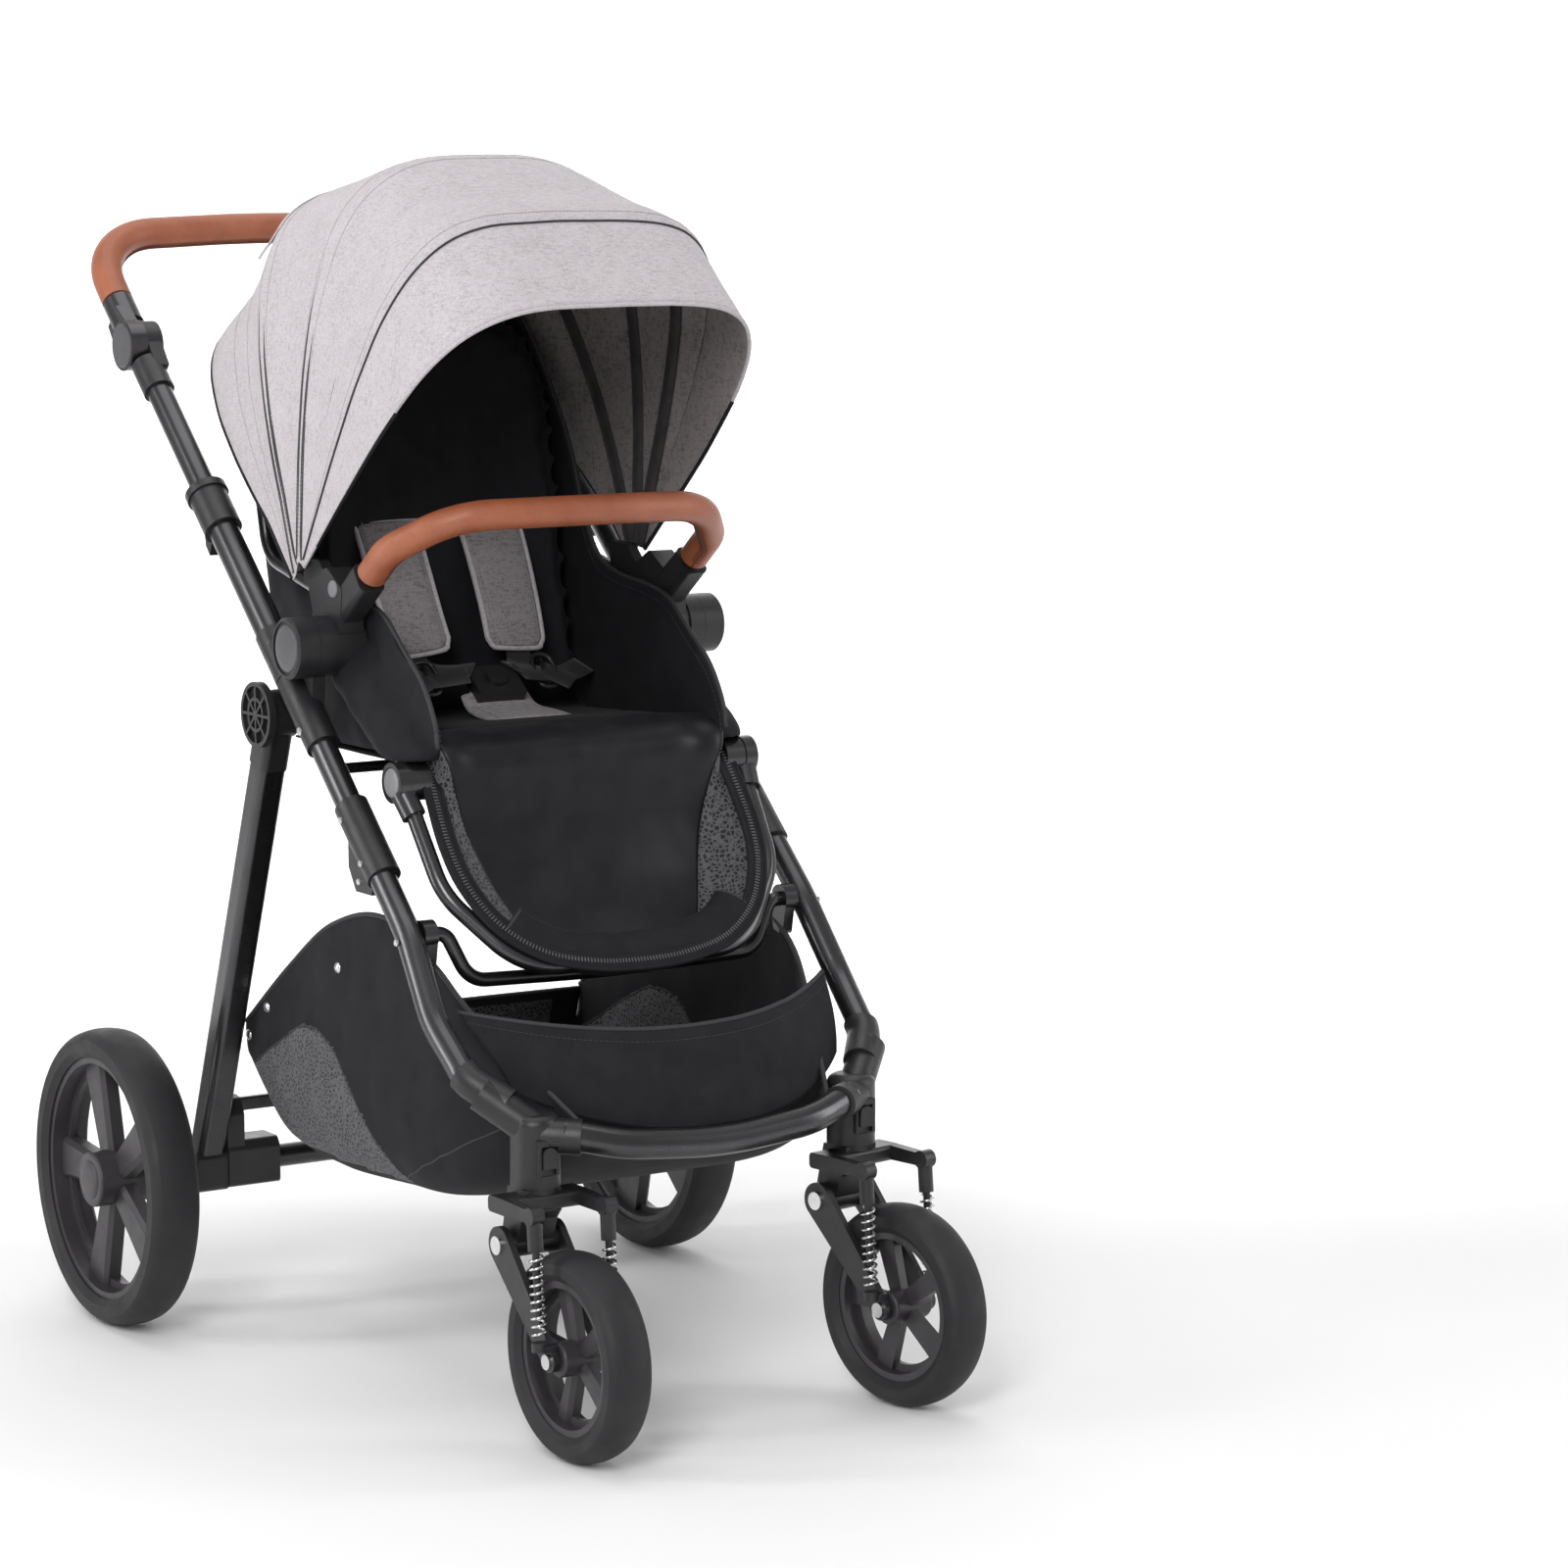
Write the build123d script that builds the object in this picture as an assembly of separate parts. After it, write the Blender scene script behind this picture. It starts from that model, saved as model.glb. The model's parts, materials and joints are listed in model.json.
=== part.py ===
from build123d import *
import os
from math import atan2, cos, degrees, radians, sin

# Baby stroller, millimetres. +Z up, the stroller faces -Y, and +X is on the pusher's left.
# Heights are above the floor. Y is measured from the rear axle while modelling, and the whole
# model is moved at the end so that the origin is on the floor under the middle of its box.

BASE_Y = 239.229

# wheels
REAR_WHEEL_R = 140.0
REAR_WHEEL_X = 291.0
REAR_TYRE_W = 48.0
REAR_RIM_R = 114.0
FRONT_WHEEL_R = 90.0
FRONT_TYRE_W = 42.0
FRONT_RIM_R = 66.0
STUB_R = 6.0
RUNNING = 0.05
GAP = 0.3

# casters: the wheel stands ahead of its stem
STEM_X = 160.0
STEM_Y = -569.0
TRAIL = 68.0
STEM_R = 8.0
SLEEVE_BOTTOM = 225.0
FORK_PIVOT = (12.0, 174.0)
LEFT_YAW = 10.2
RIGHT_YAW = 1.8
LUG = (-57.0, 213.0)
LUG_X = 36.0

# main frame: one straight line carries the front leg and the push tube on each side
TUBE_X = 200.0
LINE_ANGLE = 42.2
HUB = (-233.0, 655.0)
HUB_OFFSET = 44.0
HUB_R = 27.8
HUB_PIN_R = 8.0
LEG_R = 12.0
PUSH_R = 14.0
INNER_R = 12.0
SOCKET_R = 15.5
FOLD = (-168.0, 589.0)
FOLD_PIN_R = 6.0
AXLE_Z = 138.0
REAR_LEG_W = 28.0

# handle
PIVOT_S = 430.0
HANDLE_R = 11.0
GRIP_R = 15.0

# seat
LEG_REST_PIVOT = (-360.0, 546.0)
LEG_REST_ANGLE = 55.0
CANOPY = (-175.0, 712.0)
CANOPY_HALF = 178.0
CANOPY_RISE = 386.0
CLOTH = 2.5
NEST = 4.0
BUMPER_END = (-258.0, 696.0)
BUMPER_ANGLE = 143.0
SOCKET_GAP = 0.9

LINE_DIR = (cos(radians(LINE_ANGLE)), sin(radians(LINE_ANGLE)))
LINE_DOWN = (LINE_DIR[1], -LINE_DIR[0])
FOOT = (HUB[0] + HUB_OFFSET * LINE_DOWN[0], HUB[1] + HUB_OFFSET * LINE_DOWN[1])


def on_line(s, n=0.0):
    """Side-view point at s along the main tube line and n below it."""
    return (
        FOOT[0] + s * LINE_DIR[0] + n * LINE_DOWN[0],
        FOOT[1] + s * LINE_DIR[1] + n * LINE_DOWN[1],
    )


def at_x(x, point):
    return (x, point[0], point[1])


def disc(centre, radius, x0, x1):
    """Cylinder along X between x0 and x1."""
    return extrude(Plane.YZ.offset(x0) * Pos(*centre) * Circle(radius), x1 - x0)


def plate(points, x0, x1, corner=0.0):
    """Side-view polygon with thickness along X."""
    outline = make_face(Polyline(*points, close=True))
    if corner:
        outline = fillet(outline.vertices(), corner)
    return extrude(Plane.YZ.offset(x0) * outline, x1 - x0)


def link(a, b, ra, rb, x0, x1):
    """Bar with round ends around two side-view centres."""
    reach = Vector(*a).sub(Vector(*b)).length
    angle = degrees(atan2(b[1] - a[1], b[0] - a[0]))
    bar = Polygon((0, -ra), (reach, -rb), (reach, rb), (0, ra), align=None)
    shape = Circle(ra) + Pos(reach, 0) * Circle(rb) + bar
    return extrude(Plane.YZ.offset(x0) * Pos(*a) * Rot(0, 0, angle) * shape, x1 - x0)


def rod(start, end, radius, bore=0.0):
    """Straight round bar, or a tube when a bore is given."""
    axis = Vector(*end) - Vector(*start)
    where = Plane(origin=start, z_dir=axis)
    section = Circle(radius)
    if bore:
        section -= Circle(bore)
    return extrude(where * section, axis.length)


def pipe(points, bends, radius, bore=0.0):
    """Round tube bent at each inner point."""
    path = FilletPolyline(*points, radius=bends)
    where = Plane(origin=path @ 0, z_dir=path % 0)
    section = Circle(radius)
    if bore:
        section -= Circle(bore)
    return sweep(where * section, path=path)


def mirrored(shape):
    return mirror(shape, about=Plane.YZ)


def pair(shape):
    return [shape, mirrored(shape)]


# ---------------------------------------------------------------- front frame


FRONT_LEG_PATH = [
    at_x(TUBE_X, on_line(-9)),
    (TUBE_X + 2, -425, 421),
    (TUBE_X + 7, -478, 354),
    (TUBE_X + 2, -527, 312),
    (178, -556, 293),
]


def front_leg():
    return pipe(FRONT_LEG_PATH, [180, 120, 40], LEG_R, LEG_R - 2)


def front_leg_core():
    return pipe(FRONT_LEG_PATH, [180, 120, 40], LEG_R)


CROSS_PATH = [
    (146, -588, 271),
    (95, -607, 259),
    (0, -613, 251),
    (-95, -607, 259),
    (-146, -588, 271),
]


def cross_tube(bore=0.0):
    return pipe(CROSS_PATH, [120, 400, 120], 13.0, bore)


def front_joint():
    """Moulded junction of leg, cross tube and caster sleeve."""
    sleeve = Pos(STEM_X, STEM_Y, SLEEVE_BOTTOM) * Cylinder(
        21.5, 62, align=(Align.CENTER, Align.CENTER, Align.MIN)
    )
    sleeve = fillet(sleeve.edges().sort_by(Axis.Z)[-1], 9)
    leg_socket = rod((TUBE_X - 3, -541, 303), (STEM_X + 2, -572, 272), 15.5)
    tip = pipe(FRONT_LEG_PATH[2:], [40], 15.0)
    leg_socket += tip & Pos(190, -545, 300) * Sphere(36)
    cross_socket = rod((STEM_X - 2, -577, 269), (130, -596, 267.5), 15.5)
    joint = sleeve + leg_socket + cross_socket
    joint += Pos(STEM_X, STEM_Y - 21, 252) * Box(20, 6, 30)
    joint -= front_leg_core()
    joint -= cross_tube()
    joint -= Pos(STEM_X, STEM_Y, SLEEVE_BOTTOM - 1) * Cylinder(
        STEM_R + RUNNING, 53, align=(Align.CENTER, Align.CENTER, Align.MIN)
    )
    joint -= Pos(STEM_X, STEM_Y - 24, 249) * Box(14, 8, 26)
    return joint.solids().sort_by(SortBy.VOLUME)[-1]


def hub_housing():
    """Root side of the fold hub, leg socket and rear fold boss."""
    ring = disc(HUB, HUB_R, 184.3, 199.8)
    socket = rod(at_x(TUBE_X, on_line(-80)), at_x(TUBE_X, on_line(-0.6)), SOCKET_R)
    web = plate([on_line(-52, 6), on_line(-1, 6), on_line(-1, -22), on_line(-22, -34)], 187, 199.8)
    arm = plate([on_line(-58, 6), on_line(-6, 6), on_line(20, 40), on_line(-14, 56)], 173, 185.7)
    boss = disc(FOLD, 21, 173, 185.7)
    body = ring + socket + web + arm + boss
    body -= front_leg_core()
    body -= disc(HUB, HUB_PIN_R, 180, 205)
    body -= disc(FOLD, FOLD_PIN_R, 170, 190)
    return body.solids().sort_by(SortBy.VOLUME)[-1]


def hub_pins():
    return [disc(HUB, HUB_PIN_R, 152, 216), disc(FOLD, FOLD_PIN_R, 173, 212)]


def leg_collar():
    """Bracket low on the front leg, with a flange behind it."""
    sleeve = rod(at_x(TUBE_X, on_line(-233)), at_x(TUBE_X, on_line(-150)), SOCKET_R)
    outline = [on_line(-166, 8), on_line(-190, 34), on_line(-214, 40), on_line(-236, 20), on_line(-232, 8)]
    flange = plate(outline, 196, 207)
    return sleeve + flange - front_leg_core()


CROSSBAR_PATH = [
    (187.5, -421, 421),
    (166, -424, 421),
    (146, -430, 378),
    (0, -433, 374),
    (-146, -430, 378),
    (-166, -424, 421),
    (-187.5, -421, 421),
]


def crossbar():
    return pipe(CROSSBAR_PATH, [13, 26, 2000, 26, 13], 6.5)


def crossbar_clip():
    clip = disc((-422, 421), 13, 178, 191)
    clip += plate([(-434, 421), (-410, 421), (-412, 392), (-428, 388)], 178, 188, 4)
    clip -= crossbar()
    clip -= front_leg_core()
    return clip.solids().sort_by(SortBy.VOLUME)[-1]


BASKET_FLOOR = 182.0
BASKET_SIDE = [
    (-52, 284),
    (-150, 352),
    (-240, 402),
    (-342, 420),
    (-452, 362),
    (-484, 350),
    (-574, 275),
    (-500, 208),
    (-344, 178),
    (-128, 178),
    (-52, 240),
]


def basket_front():
    """Front band of the basket, which bows forward between the legs."""
    sections = []
    for height, half, side_y, middle_y in ((268, 129, -568, -598), (345, 172, -486, -556)):
        outer = ThreePointArc((-half, side_y), (0, middle_y), (half, side_y))
        inner = ThreePointArc((half - 1, side_y + 4), (0, middle_y + 4), (1 - half, side_y + 4))
        outline = outer + Line(outer @ 1, inner @ 0) + inner + Line(inner @ 1, outer @ 0)
        sections.append(Plane.XY.offset(height) * make_face(outline))
    return loft(sections, ruled=True)


def basket():
    """Open fabric tub between the legs, wider behind than in front."""
    outer = plate(BASKET_SIDE, -180, 180)
    taper = [(-180, -30), (180, -30), (180, -460), (118, -600), (-118, -600), (-180, -460)]
    outer &= extrude(make_face(Polyline(*taper, close=True)), 600)
    inside = [(-55, 440), (-600, 440), (-567, 274), (-498, 212)]
    inside += [(-344, BASKET_FLOOR), (-129, BASKET_FLOOR), (-56, 242)]
    hollow = plate(inside, -176, 176)
    room = [(-176, -30), (176, -30), (176, -461), (113, -597), (-113, -597), (-176, -461)]
    hollow &= extrude(make_face(Polyline(*room, close=True)), 600)
    tub = outer - hollow + basket_front()
    return tub.solids().sort_by(SortBy.VOLUME)[-1]


def screw(point, out, radius=4.0):
    """Domed screw head standing on a surface."""
    head = extrude(Plane(origin=point, z_dir=out) * Circle(radius), 2.2)
    return chamfer(head.edges().sort_by(Axis(point, out))[-1], 0.8)


def frame_screws():
    shapes = []
    shapes.append(screw(at_x(TUBE_X + SOCKET_R, on_line(-60)), (1, 0, 0)))
    for s in (-165, -215):
        shapes.append(screw(at_x(TUBE_X + SOCKET_R, on_line(s)), (1, 0, 0), 3.2))
    shapes.append(screw(at_x(207, on_line(-213, 28)), (1, 0, 0), 3.2))
    shapes.append(screw((TUBE_X + LEG_R + 3.4, -428, 417.5), (1, 0, 0), 3.2))
    return shapes + [mirrored(s) for s in shapes]


# ----------------------------------------------------------------- rear frame


LEG_LEAN = degrees(atan2(AXLE_Z - FOLD[1], -FOLD[0]))
LEG_LEN = Vector(-FOLD[0], AXLE_Z - FOLD[1]).length


def rear_leg_plane(distance):
    y = FOLD[0] + distance * cos(radians(LEG_LEAN))
    z = FOLD[1] + distance * sin(radians(LEG_LEAN))
    return Plane(
        origin=(TUBE_X, y, z),
        z_dir=(0, cos(radians(LEG_LEAN)), sin(radians(LEG_LEAN))),
        x_dir=(1, 0, 0),
    )


def rear_leg(solid=False):
    """Rounded square tube from the fold knuckle down to the axle."""
    section = RectangleRounded(REAR_LEG_W - 0.6, REAR_LEG_W, 7)
    if not solid:
        section -= RectangleRounded(REAR_LEG_W - 4.6, REAR_LEG_W - 4, 5)
    return extrude(rear_leg_plane(34) * section, LEG_LEN + 12 - 34)


def rear_knuckle():
    """Top end of the rear leg, which turns on the fold pin."""
    body = disc(FOLD, 22, 186, 214)
    body += extrude(rear_leg_plane(8) * RectangleRounded(28, 32, 7), 44)
    body -= rear_leg(True)
    body -= disc(FOLD, FOLD_PIN_R + RUNNING, 180, 212.5)
    return body.solids().sort_by(SortBy.VOLUME)[-1]


def hinge_disc():
    """Spoked cover of the fold hinge."""
    cover = disc(FOLD, 30, 214, 221)
    for inner, outer in ((4, 13), (16, 26)):
        pocket = disc(FOLD, outer, 217, 222) - disc(FOLD, inner, 217, 222)
        for turn in range(4):
            pocket -= Pos(219.5, *FOLD) * Rot(turn * 45, 0, 0) * Box(8, 70, 2.6)
        cover -= pocket
    return cover


def stub_axle(bore=False):
    radius = STUB_R + (RUNNING if bore else 0)
    return disc((0, AXLE_Z + 2), radius, 150, 312)


def rear_axle():
    centre = (0, AXLE_Z + 2)
    return disc(centre, 11, -149, 149)


def axle_bracket():
    """Housing at the foot of the rear leg, with a slotted tower for the brake bar."""
    block = plate([(-24, 120), (22, 120), (22, 150), (14, 164), (-18, 164), (-24, 156)], 132, 185.4, 5)
    tower = plate([(-22, 150), (12, 150), (10, 196), (-2, 206), (-14, 204), (-22, 190)], 168, 185.4, 5)
    slot = plate([(-12, 158), (0, 158), (0, 188), (-12, 188)], 176, 186, 3)
    foot = plate([(-22, 118), (22, 118), (22, 148), (-22, 156)], 185.4, 217, 6)
    body = block + tower + foot - slot
    body -= rear_leg(True)
    body -= disc((0, AXLE_Z + 2), STUB_R, 130, 220)
    body -= disc((0, AXLE_Z + 2), 11, 120, 149)
    body -= brake_bar()
    return body.solids().sort_by(SortBy.VOLUME)[-1]


def brake_bar():
    return plate([(-10, 190), (-2, 190), (-2, 203), (-10, 203)], -174, 174, 2)


def brake_pedal():
    """Foot pedal on a split collar round the axle tube."""
    collar = disc((0, AXLE_Z + 2), 16, -24, 24)
    arm = plate([(6, 132), (52, 140), (58, 148), (56, 154), (8, 152)], -22, 22, 3)
    pad = plate([(40, 152), (60, 154), (60, 160), (40, 158)], -30, 30)
    body = collar + arm + pad
    body -= disc((0, AXLE_Z + 2), 11 + RUNNING, -40, 40)
    return body


# --------------------------------------------------------------------- wheels


def tyre(radius, rim_radius, width):
    """Solid foam tyre with a crowned tread, about Z."""
    half = width / 2
    shoulder = radius - 9
    profile = [
        (rim_radius, -half + 5),
        (rim_radius + 6, -half),
        (shoulder, -half),
        (radius - 2.5, -half + 8),
        (radius, 0),
        (radius - 2.5, half - 8),
        (shoulder, half),
        (rim_radius + 6, half),
        (rim_radius, half - 5),
    ]
    crown = Line(profile[0], profile[1]) + Line(profile[1], profile[2])
    crown += ThreePointArc(profile[2], (radius - 5.2, -half + 3.2), profile[3])
    crown += ThreePointArc(profile[3], profile[4], profile[5])
    crown += ThreePointArc(profile[5], (radius - 5.2, half - 3.2), profile[6])
    crown += Line(profile[6], profile[7]) + Line(profile[7], profile[8]) + Line(profile[8], profile[0])
    return revolve(Plane.XZ * make_face(crown), Axis.Z)


def wheel_rim(rim_radius, width, hub_radius, hub_half, spoke_root, spoke_tip, spoke_half, bore, bore_to):
    """Five-spoke rim about Z, outside face towards +Z."""
    half = width / 2
    barrel = Cylinder(rim_radius, width) - Cylinder(rim_radius - 6, width)
    lip = Cylinder(rim_radius - 5, 5) - Cylinder(rim_radius - 13, 5)
    barrel += lip
    hub = Cylinder(hub_radius, 2 * hub_half)
    hub = fillet(hub.edges().filter_by(GeomType.CIRCLE), 3)
    spokes = []
    for n in range(5):
        outline = Polygon(
            (hub_radius - 6, -spoke_root / 2),
            (rim_radius - 5, -spoke_tip / 2),
            (rim_radius - 5, spoke_tip / 2),
            (hub_radius - 6, spoke_root / 2),
            align=None,
        )
        arm = extrude(Plane.XY.offset(-spoke_half) * outline, 2 * spoke_half)
        top = arm.edges().filter_by(Axis.Z, reverse=True).group_by(Axis.Z)[-1]
        arm = chamfer(top.sort_by(Axis.Y)[:1] + top.sort_by(Axis.Y)[-1:], min(4.0, spoke_half * 0.6))
        spokes.append(Rot(0, 0, 90 + 72 * n) * arm)
    rim = barrel + hub
    for arm in spokes:
        rim += arm
    rim -= extrude(Plane.XY.offset(bore_to) * Circle(bore), -4 * hub_half)
    return rim.solids().sort_by(SortBy.VOLUME)[-1]


def rear_wheel(side):
    turn = Rot(0, 90 * side, 0)
    place = Pos(REAR_WHEEL_X * side, 0, REAR_WHEEL_R)
    rubber = place * turn * tyre(REAR_WHEEL_R, REAR_RIM_R, REAR_TYRE_W)
    rim = wheel_rim(REAR_RIM_R, 34, 26, 27, 26, 40, 8, STUB_R + RUNNING, 22)
    return place * turn * rim, rubber


def in_caster(side, yaw):
    return Pos(STEM_X * side, STEM_Y, 0) * Rot(0, 0, yaw)


def front_wheel(side, yaw):
    place = in_caster(side, yaw) * Pos(0, -TRAIL, FRONT_WHEEL_R) * Rot(0, 90 * side, 0)
    rubber = tyre(FRONT_WHEEL_R, FRONT_RIM_R, FRONT_TYRE_W)
    rim = wheel_rim(FRONT_RIM_R, 30, 15, 22, 14, 20, 6, 4 + RUNNING, 40)
    return place * rim, place * rubber


def caster_yoke():
    """Stem, collar, rear pivot boss and two horns over the wheel, in the caster's own frame."""
    stem = Pos(0, 0, 205) * Cylinder(STEM_R, 70, align=(Align.CENTER, Align.CENTER, Align.MIN))
    collar = Pos(0, 0, 205) * Cylinder(18.5, 19.7, align=(Align.CENTER, Align.CENTER, Align.MIN))
    pivot = disc(FORK_PIVOT, 12, -23.6, 23.6)
    neck = plate([(-13, 224), (16, 224), (26, 180), (18, 163), (4, 165), (-6, 196), (-13, 204)], -18, 18)
    bridge = plate([(-20, 206), (10, 206), (10, 220), (-20, 220)], -LUG_X - 5, LUG_X + 5, 4)
    body = stem + collar + pivot + neck + bridge
    for side in (-1, 1):
        x = LUG_X * side
        body += plate([(-12, 207), (-60, 207), (-60, 218), (-12, 220)], x - 5, x + 5)
        body += disc(LUG, 8, x - 6, x + 6)
        body += rod((x, LUG[0], LUG[1] - 4), (x, LUG[0] - 2, 184), 6.5)
        body += rod((x, LUG[0] - 2, 186), (x, LUG[0] - 6, 130), 3.2)
    body -= disc(FORK_PIVOT, 5 + RUNNING, -30, 30)
    return body.solids().sort_by(SortBy.VOLUME)[-1]


def caster_springs():
    """Two coil springs between the yoke's horns and the swing arms."""
    coils = []
    low, high, turns = 109.8, 183.0, 10
    for side in (-1, 1):
        axis = Vector(0, 4.6, high - low)
        where = Plane(origin=(LUG_X * side, LUG[0] - 7.0, low), z_dir=axis)
        path = Helix(pitch=(axis.length - 4) / turns, height=axis.length - 4, radius=5.4)
        start = Plane(origin=path @ 0, z_dir=path % 0)
        wire = sweep(start * Circle(1.2), path=path, is_frenet=True)
        coils.append(where * Pos(0, 0, 2) * wire)
    return coils


def swing_arms():
    """The two fork arms from the rear pivot to the axle."""
    axle = (-TRAIL, FRONT_WHEEL_R)
    arms = []
    for side in (-1, 1):
        x0, x1 = sorted((24.0 * side, 30.0 * side))
        arm = link(FORK_PIVOT, axle, 16, 9.5, x0, x1)
        seat = rod((LUG_X * side, LUG[0] - 8, 99), (LUG_X * side, LUG[0] - 7.4, 107), 7)
        low_x, high_x = sorted((24.0 * side, LUG_X * side))
        shelf = plate([(-73, 99), (-58, 99), (-58, 105), (-73, 105)], low_x, high_x)
        arm += seat + shelf
        arm -= disc(FORK_PIVOT, 5, -60, 60)
        arm -= disc(axle, 4, -60, 60)
        arms.append(arm.solids().sort_by(SortBy.VOLUME)[-1])
    return arms


def fork_bolts():
    axle = (-TRAIL, FRONT_WHEEL_R)
    pivot = disc(FORK_PIVOT, 5, -30, 30)
    wheel = disc(axle, 4, -30, 30)
    for x0 in (-33, 30):
        pivot += disc(FORK_PIVOT, 8, x0, x0 + 3)
        wheel += disc(axle, 6.5, x0, x0 + 3)
    return [pivot, wheel]


def swivel_lock():
    """Arched tab in the front of the caster sleeve."""
    tab = Pos(STEM_X, STEM_Y - 23.5, 252) * Box(13, 5, 18)
    return fillet(tab.edges().filter_by(Axis.Y).group_by(Axis.Z)[-1], 5.5)


# --------------------------------------------------------------- push frame


COLLAR_S = 205.0


def push_bracket():
    """Moving side of the fold hub with the socket of the push tube."""
    ring = disc(HUB, HUB_R, 200.1, 222)
    ring = chamfer(ring.edges().filter_by(GeomType.CIRCLE).sort_by(Axis.X)[-1], 2)
    socket = rod(at_x(TUBE_X, on_line(0.6)), at_x(TUBE_X, on_line(56)), SOCKET_R)
    web = plate([on_line(1, 6), on_line(46, 6), on_line(22, -34), on_line(1, -22)], 200.1, 213)
    body = ring + socket + web
    body -= disc(HUB, 24, 220.5, 223)
    body -= push_tube(True)
    body -= disc(HUB, HUB_PIN_R + RUNNING, 190, 217)
    return body.solids().sort_by(SortBy.VOLUME)[-1]


def push_tube(solid=False):
    bore = 0 if solid else INNER_R + 0.35
    return rod(at_x(TUBE_X, on_line(4)), at_x(TUBE_X, on_line(COLLAR_S + 20)), PUSH_R, bore)


def fold_slider():
    """Sliding grip over the top of the push tube that frees the fold."""
    low = at_x(TUBE_X, on_line(COLLAR_S - 18))
    high = at_x(TUBE_X, on_line(COLLAR_S + 32))
    body = rod(low, high, 18.0)
    body += rod(at_x(TUBE_X, on_line(COLLAR_S + 24)), high, 20.0)
    lever = [(8, 10), (-12, 26), (-24, 27), (-18, 12)]
    body += plate([on_line(COLLAR_S + s, n) for s, n in lever], 192, 208)
    body -= rod(at_x(TUBE_X, on_line(COLLAR_S - 40)), at_x(TUBE_X, on_line(COLLAR_S + 60)), PUSH_R + GAP)
    return body.solids().sort_by(SortBy.VOLUME)[-1]


def inner_tube(solid=False):
    bore = 0 if solid else INNER_R - 2
    return rod(at_x(TUBE_X, on_line(95)), at_x(TUBE_X, on_line(PIVOT_S - 34)), INNER_R, bore)


PIVOT_WEB = [(40, 14), (40, -14), (4, -20), (4, 20)]


def pivot_housing():
    """Fixed half of the handle pivot on top of the inner tube."""
    pivot = on_line(PIVOT_S)
    body = disc(pivot, 23, 184, 199.8)
    body += rod(at_x(TUBE_X, on_line(PIVOT_S - 62)), at_x(TUBE_X, on_line(PIVOT_S - 26)), 15)
    body += plate([on_line(PIVOT_S - s, n) for s, n in PIVOT_WEB], 186, 199.8)
    body -= inner_tube(True)
    body += disc(pivot, 7, 199, 208)
    return body


# -------------------------------------------------------------------- handle


def handle_point(x, s):
    return at_x(x, on_line(s))


HANDLE_PATH = [
    handle_point(TUBE_X, PIVOT_S + 28),
    handle_point(TUBE_X - 2, PIVOT_S + 150),
    handle_point(0, PIVOT_S + 162),
    handle_point(-TUBE_X + 2, PIVOT_S + 150),
    handle_point(-TUBE_X, PIVOT_S + 28),
]


def handle_tube(radius=HANDLE_R):
    return pipe(HANDLE_PATH, [72, 1200, 72], radius)


def handle_socket():
    """Turning half of the handle pivot."""
    pivot = on_line(PIVOT_S)
    body = disc(pivot, 24, 200.2, 216)
    body += rod(at_x(TUBE_X, on_line(PIVOT_S + 26)), at_x(TUBE_X, on_line(PIVOT_S + 58)), 15)
    body += plate([on_line(PIVOT_S + s, n) for s, n in PIVOT_WEB], 200.2, 213)
    body -= handle_tube()
    body -= disc(pivot, 7 + RUNNING, 190, 209)
    body -= disc(pivot, 21 + GAP, 211.5, 217)
    return body.solids().sort_by(SortBy.VOLUME)[-1]


def handle_button():
    button = disc(on_line(PIVOT_S), 21, 213.8, 218)
    return chamfer(button.edges().filter_by(GeomType.CIRCLE).sort_by(Axis.X)[-1], 1.5)


def handle_grip():
    start = handle_point(TUBE_X, PIVOT_S + 60)
    path = [start] + HANDLE_PATH[1:-1] + [(-start[0], start[1], start[2])]
    return pipe(path, [72, 1200, 72], GRIP_R) - handle_tube()


# ---------------------------------------------------------------------- seat


def seat_hub():
    """Seat side of the hub with the bumper socket, the canopy foot and the recline barrel."""
    barrel = disc(HUB, 26, 153, 184)
    neck = plate([(-256, 664), (-212, 664), (-196, 706), (-232, 726), (-262, 708)], 156, 180, 6)
    y, z = BUMPER_END
    direction = (0, cos(radians(BUMPER_ANGLE)), sin(radians(BUMPER_ANGLE)))
    start = Vector(167, y, z) - Vector(*direction) * 14
    end = Vector(167, y, z) + Vector(*direction) * 40
    where = Plane(origin=start, z_dir=direction, x_dir=(1, 0, 0))
    socket = extrude(where * RectangleRounded(25, 29, 6), (end - start).length)
    foot = plate([(-200, 690), (-160, 706), (-158, 730), (-190, 728), (-214, 706)], 156, 166, 4)
    body = barrel + neck + socket + foot
    body -= disc(HUB, HUB_PIN_R + RUNNING, 140, 190)
    body -= bumper_tube(SOCKET_GAP)
    body -= disc((-246, 707), 8.4, 172.6, 186)
    body -= release_button(0.4, 5)
    return body.solids().sort_by(SortBy.VOLUME)[-1]


def release_button(grow=0.0, deeper=0.0):
    """Rounded push button on top of the seat hub, or the pocket it slides in."""
    out = (0, 0.78, 0.626)
    where = Plane(origin=(169, HUB[0] + 25 * out[1], HUB[1] + 25 * out[2]), z_dir=out, x_dir=(1, 0, 0))
    outline = RectangleRounded(16 + 2 * grow, 18 + 2 * grow, 5)
    return extrude(where.offset(-6 - deeper) * outline, 24 + deeper)


def bumper_button():
    button = disc((-246, 707), 8, 176, 182)
    return chamfer(button.edges().filter_by(GeomType.CIRCLE).sort_by(Axis.X)[-1], 1.2)


def bumper_path():
    direction = (cos(radians(BUMPER_ANGLE)), sin(radians(BUMPER_ANGLE)))
    y, z = BUMPER_END
    right = [
        (167, y, z),
        (166, y + 84 * direction[0], z + 84 * direction[1]),
        (126, -376, 778),
    ]
    left = [(-p[0], p[1], p[2]) for p in reversed(right)]
    return right + [(0, -402, 781)] + left


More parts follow.
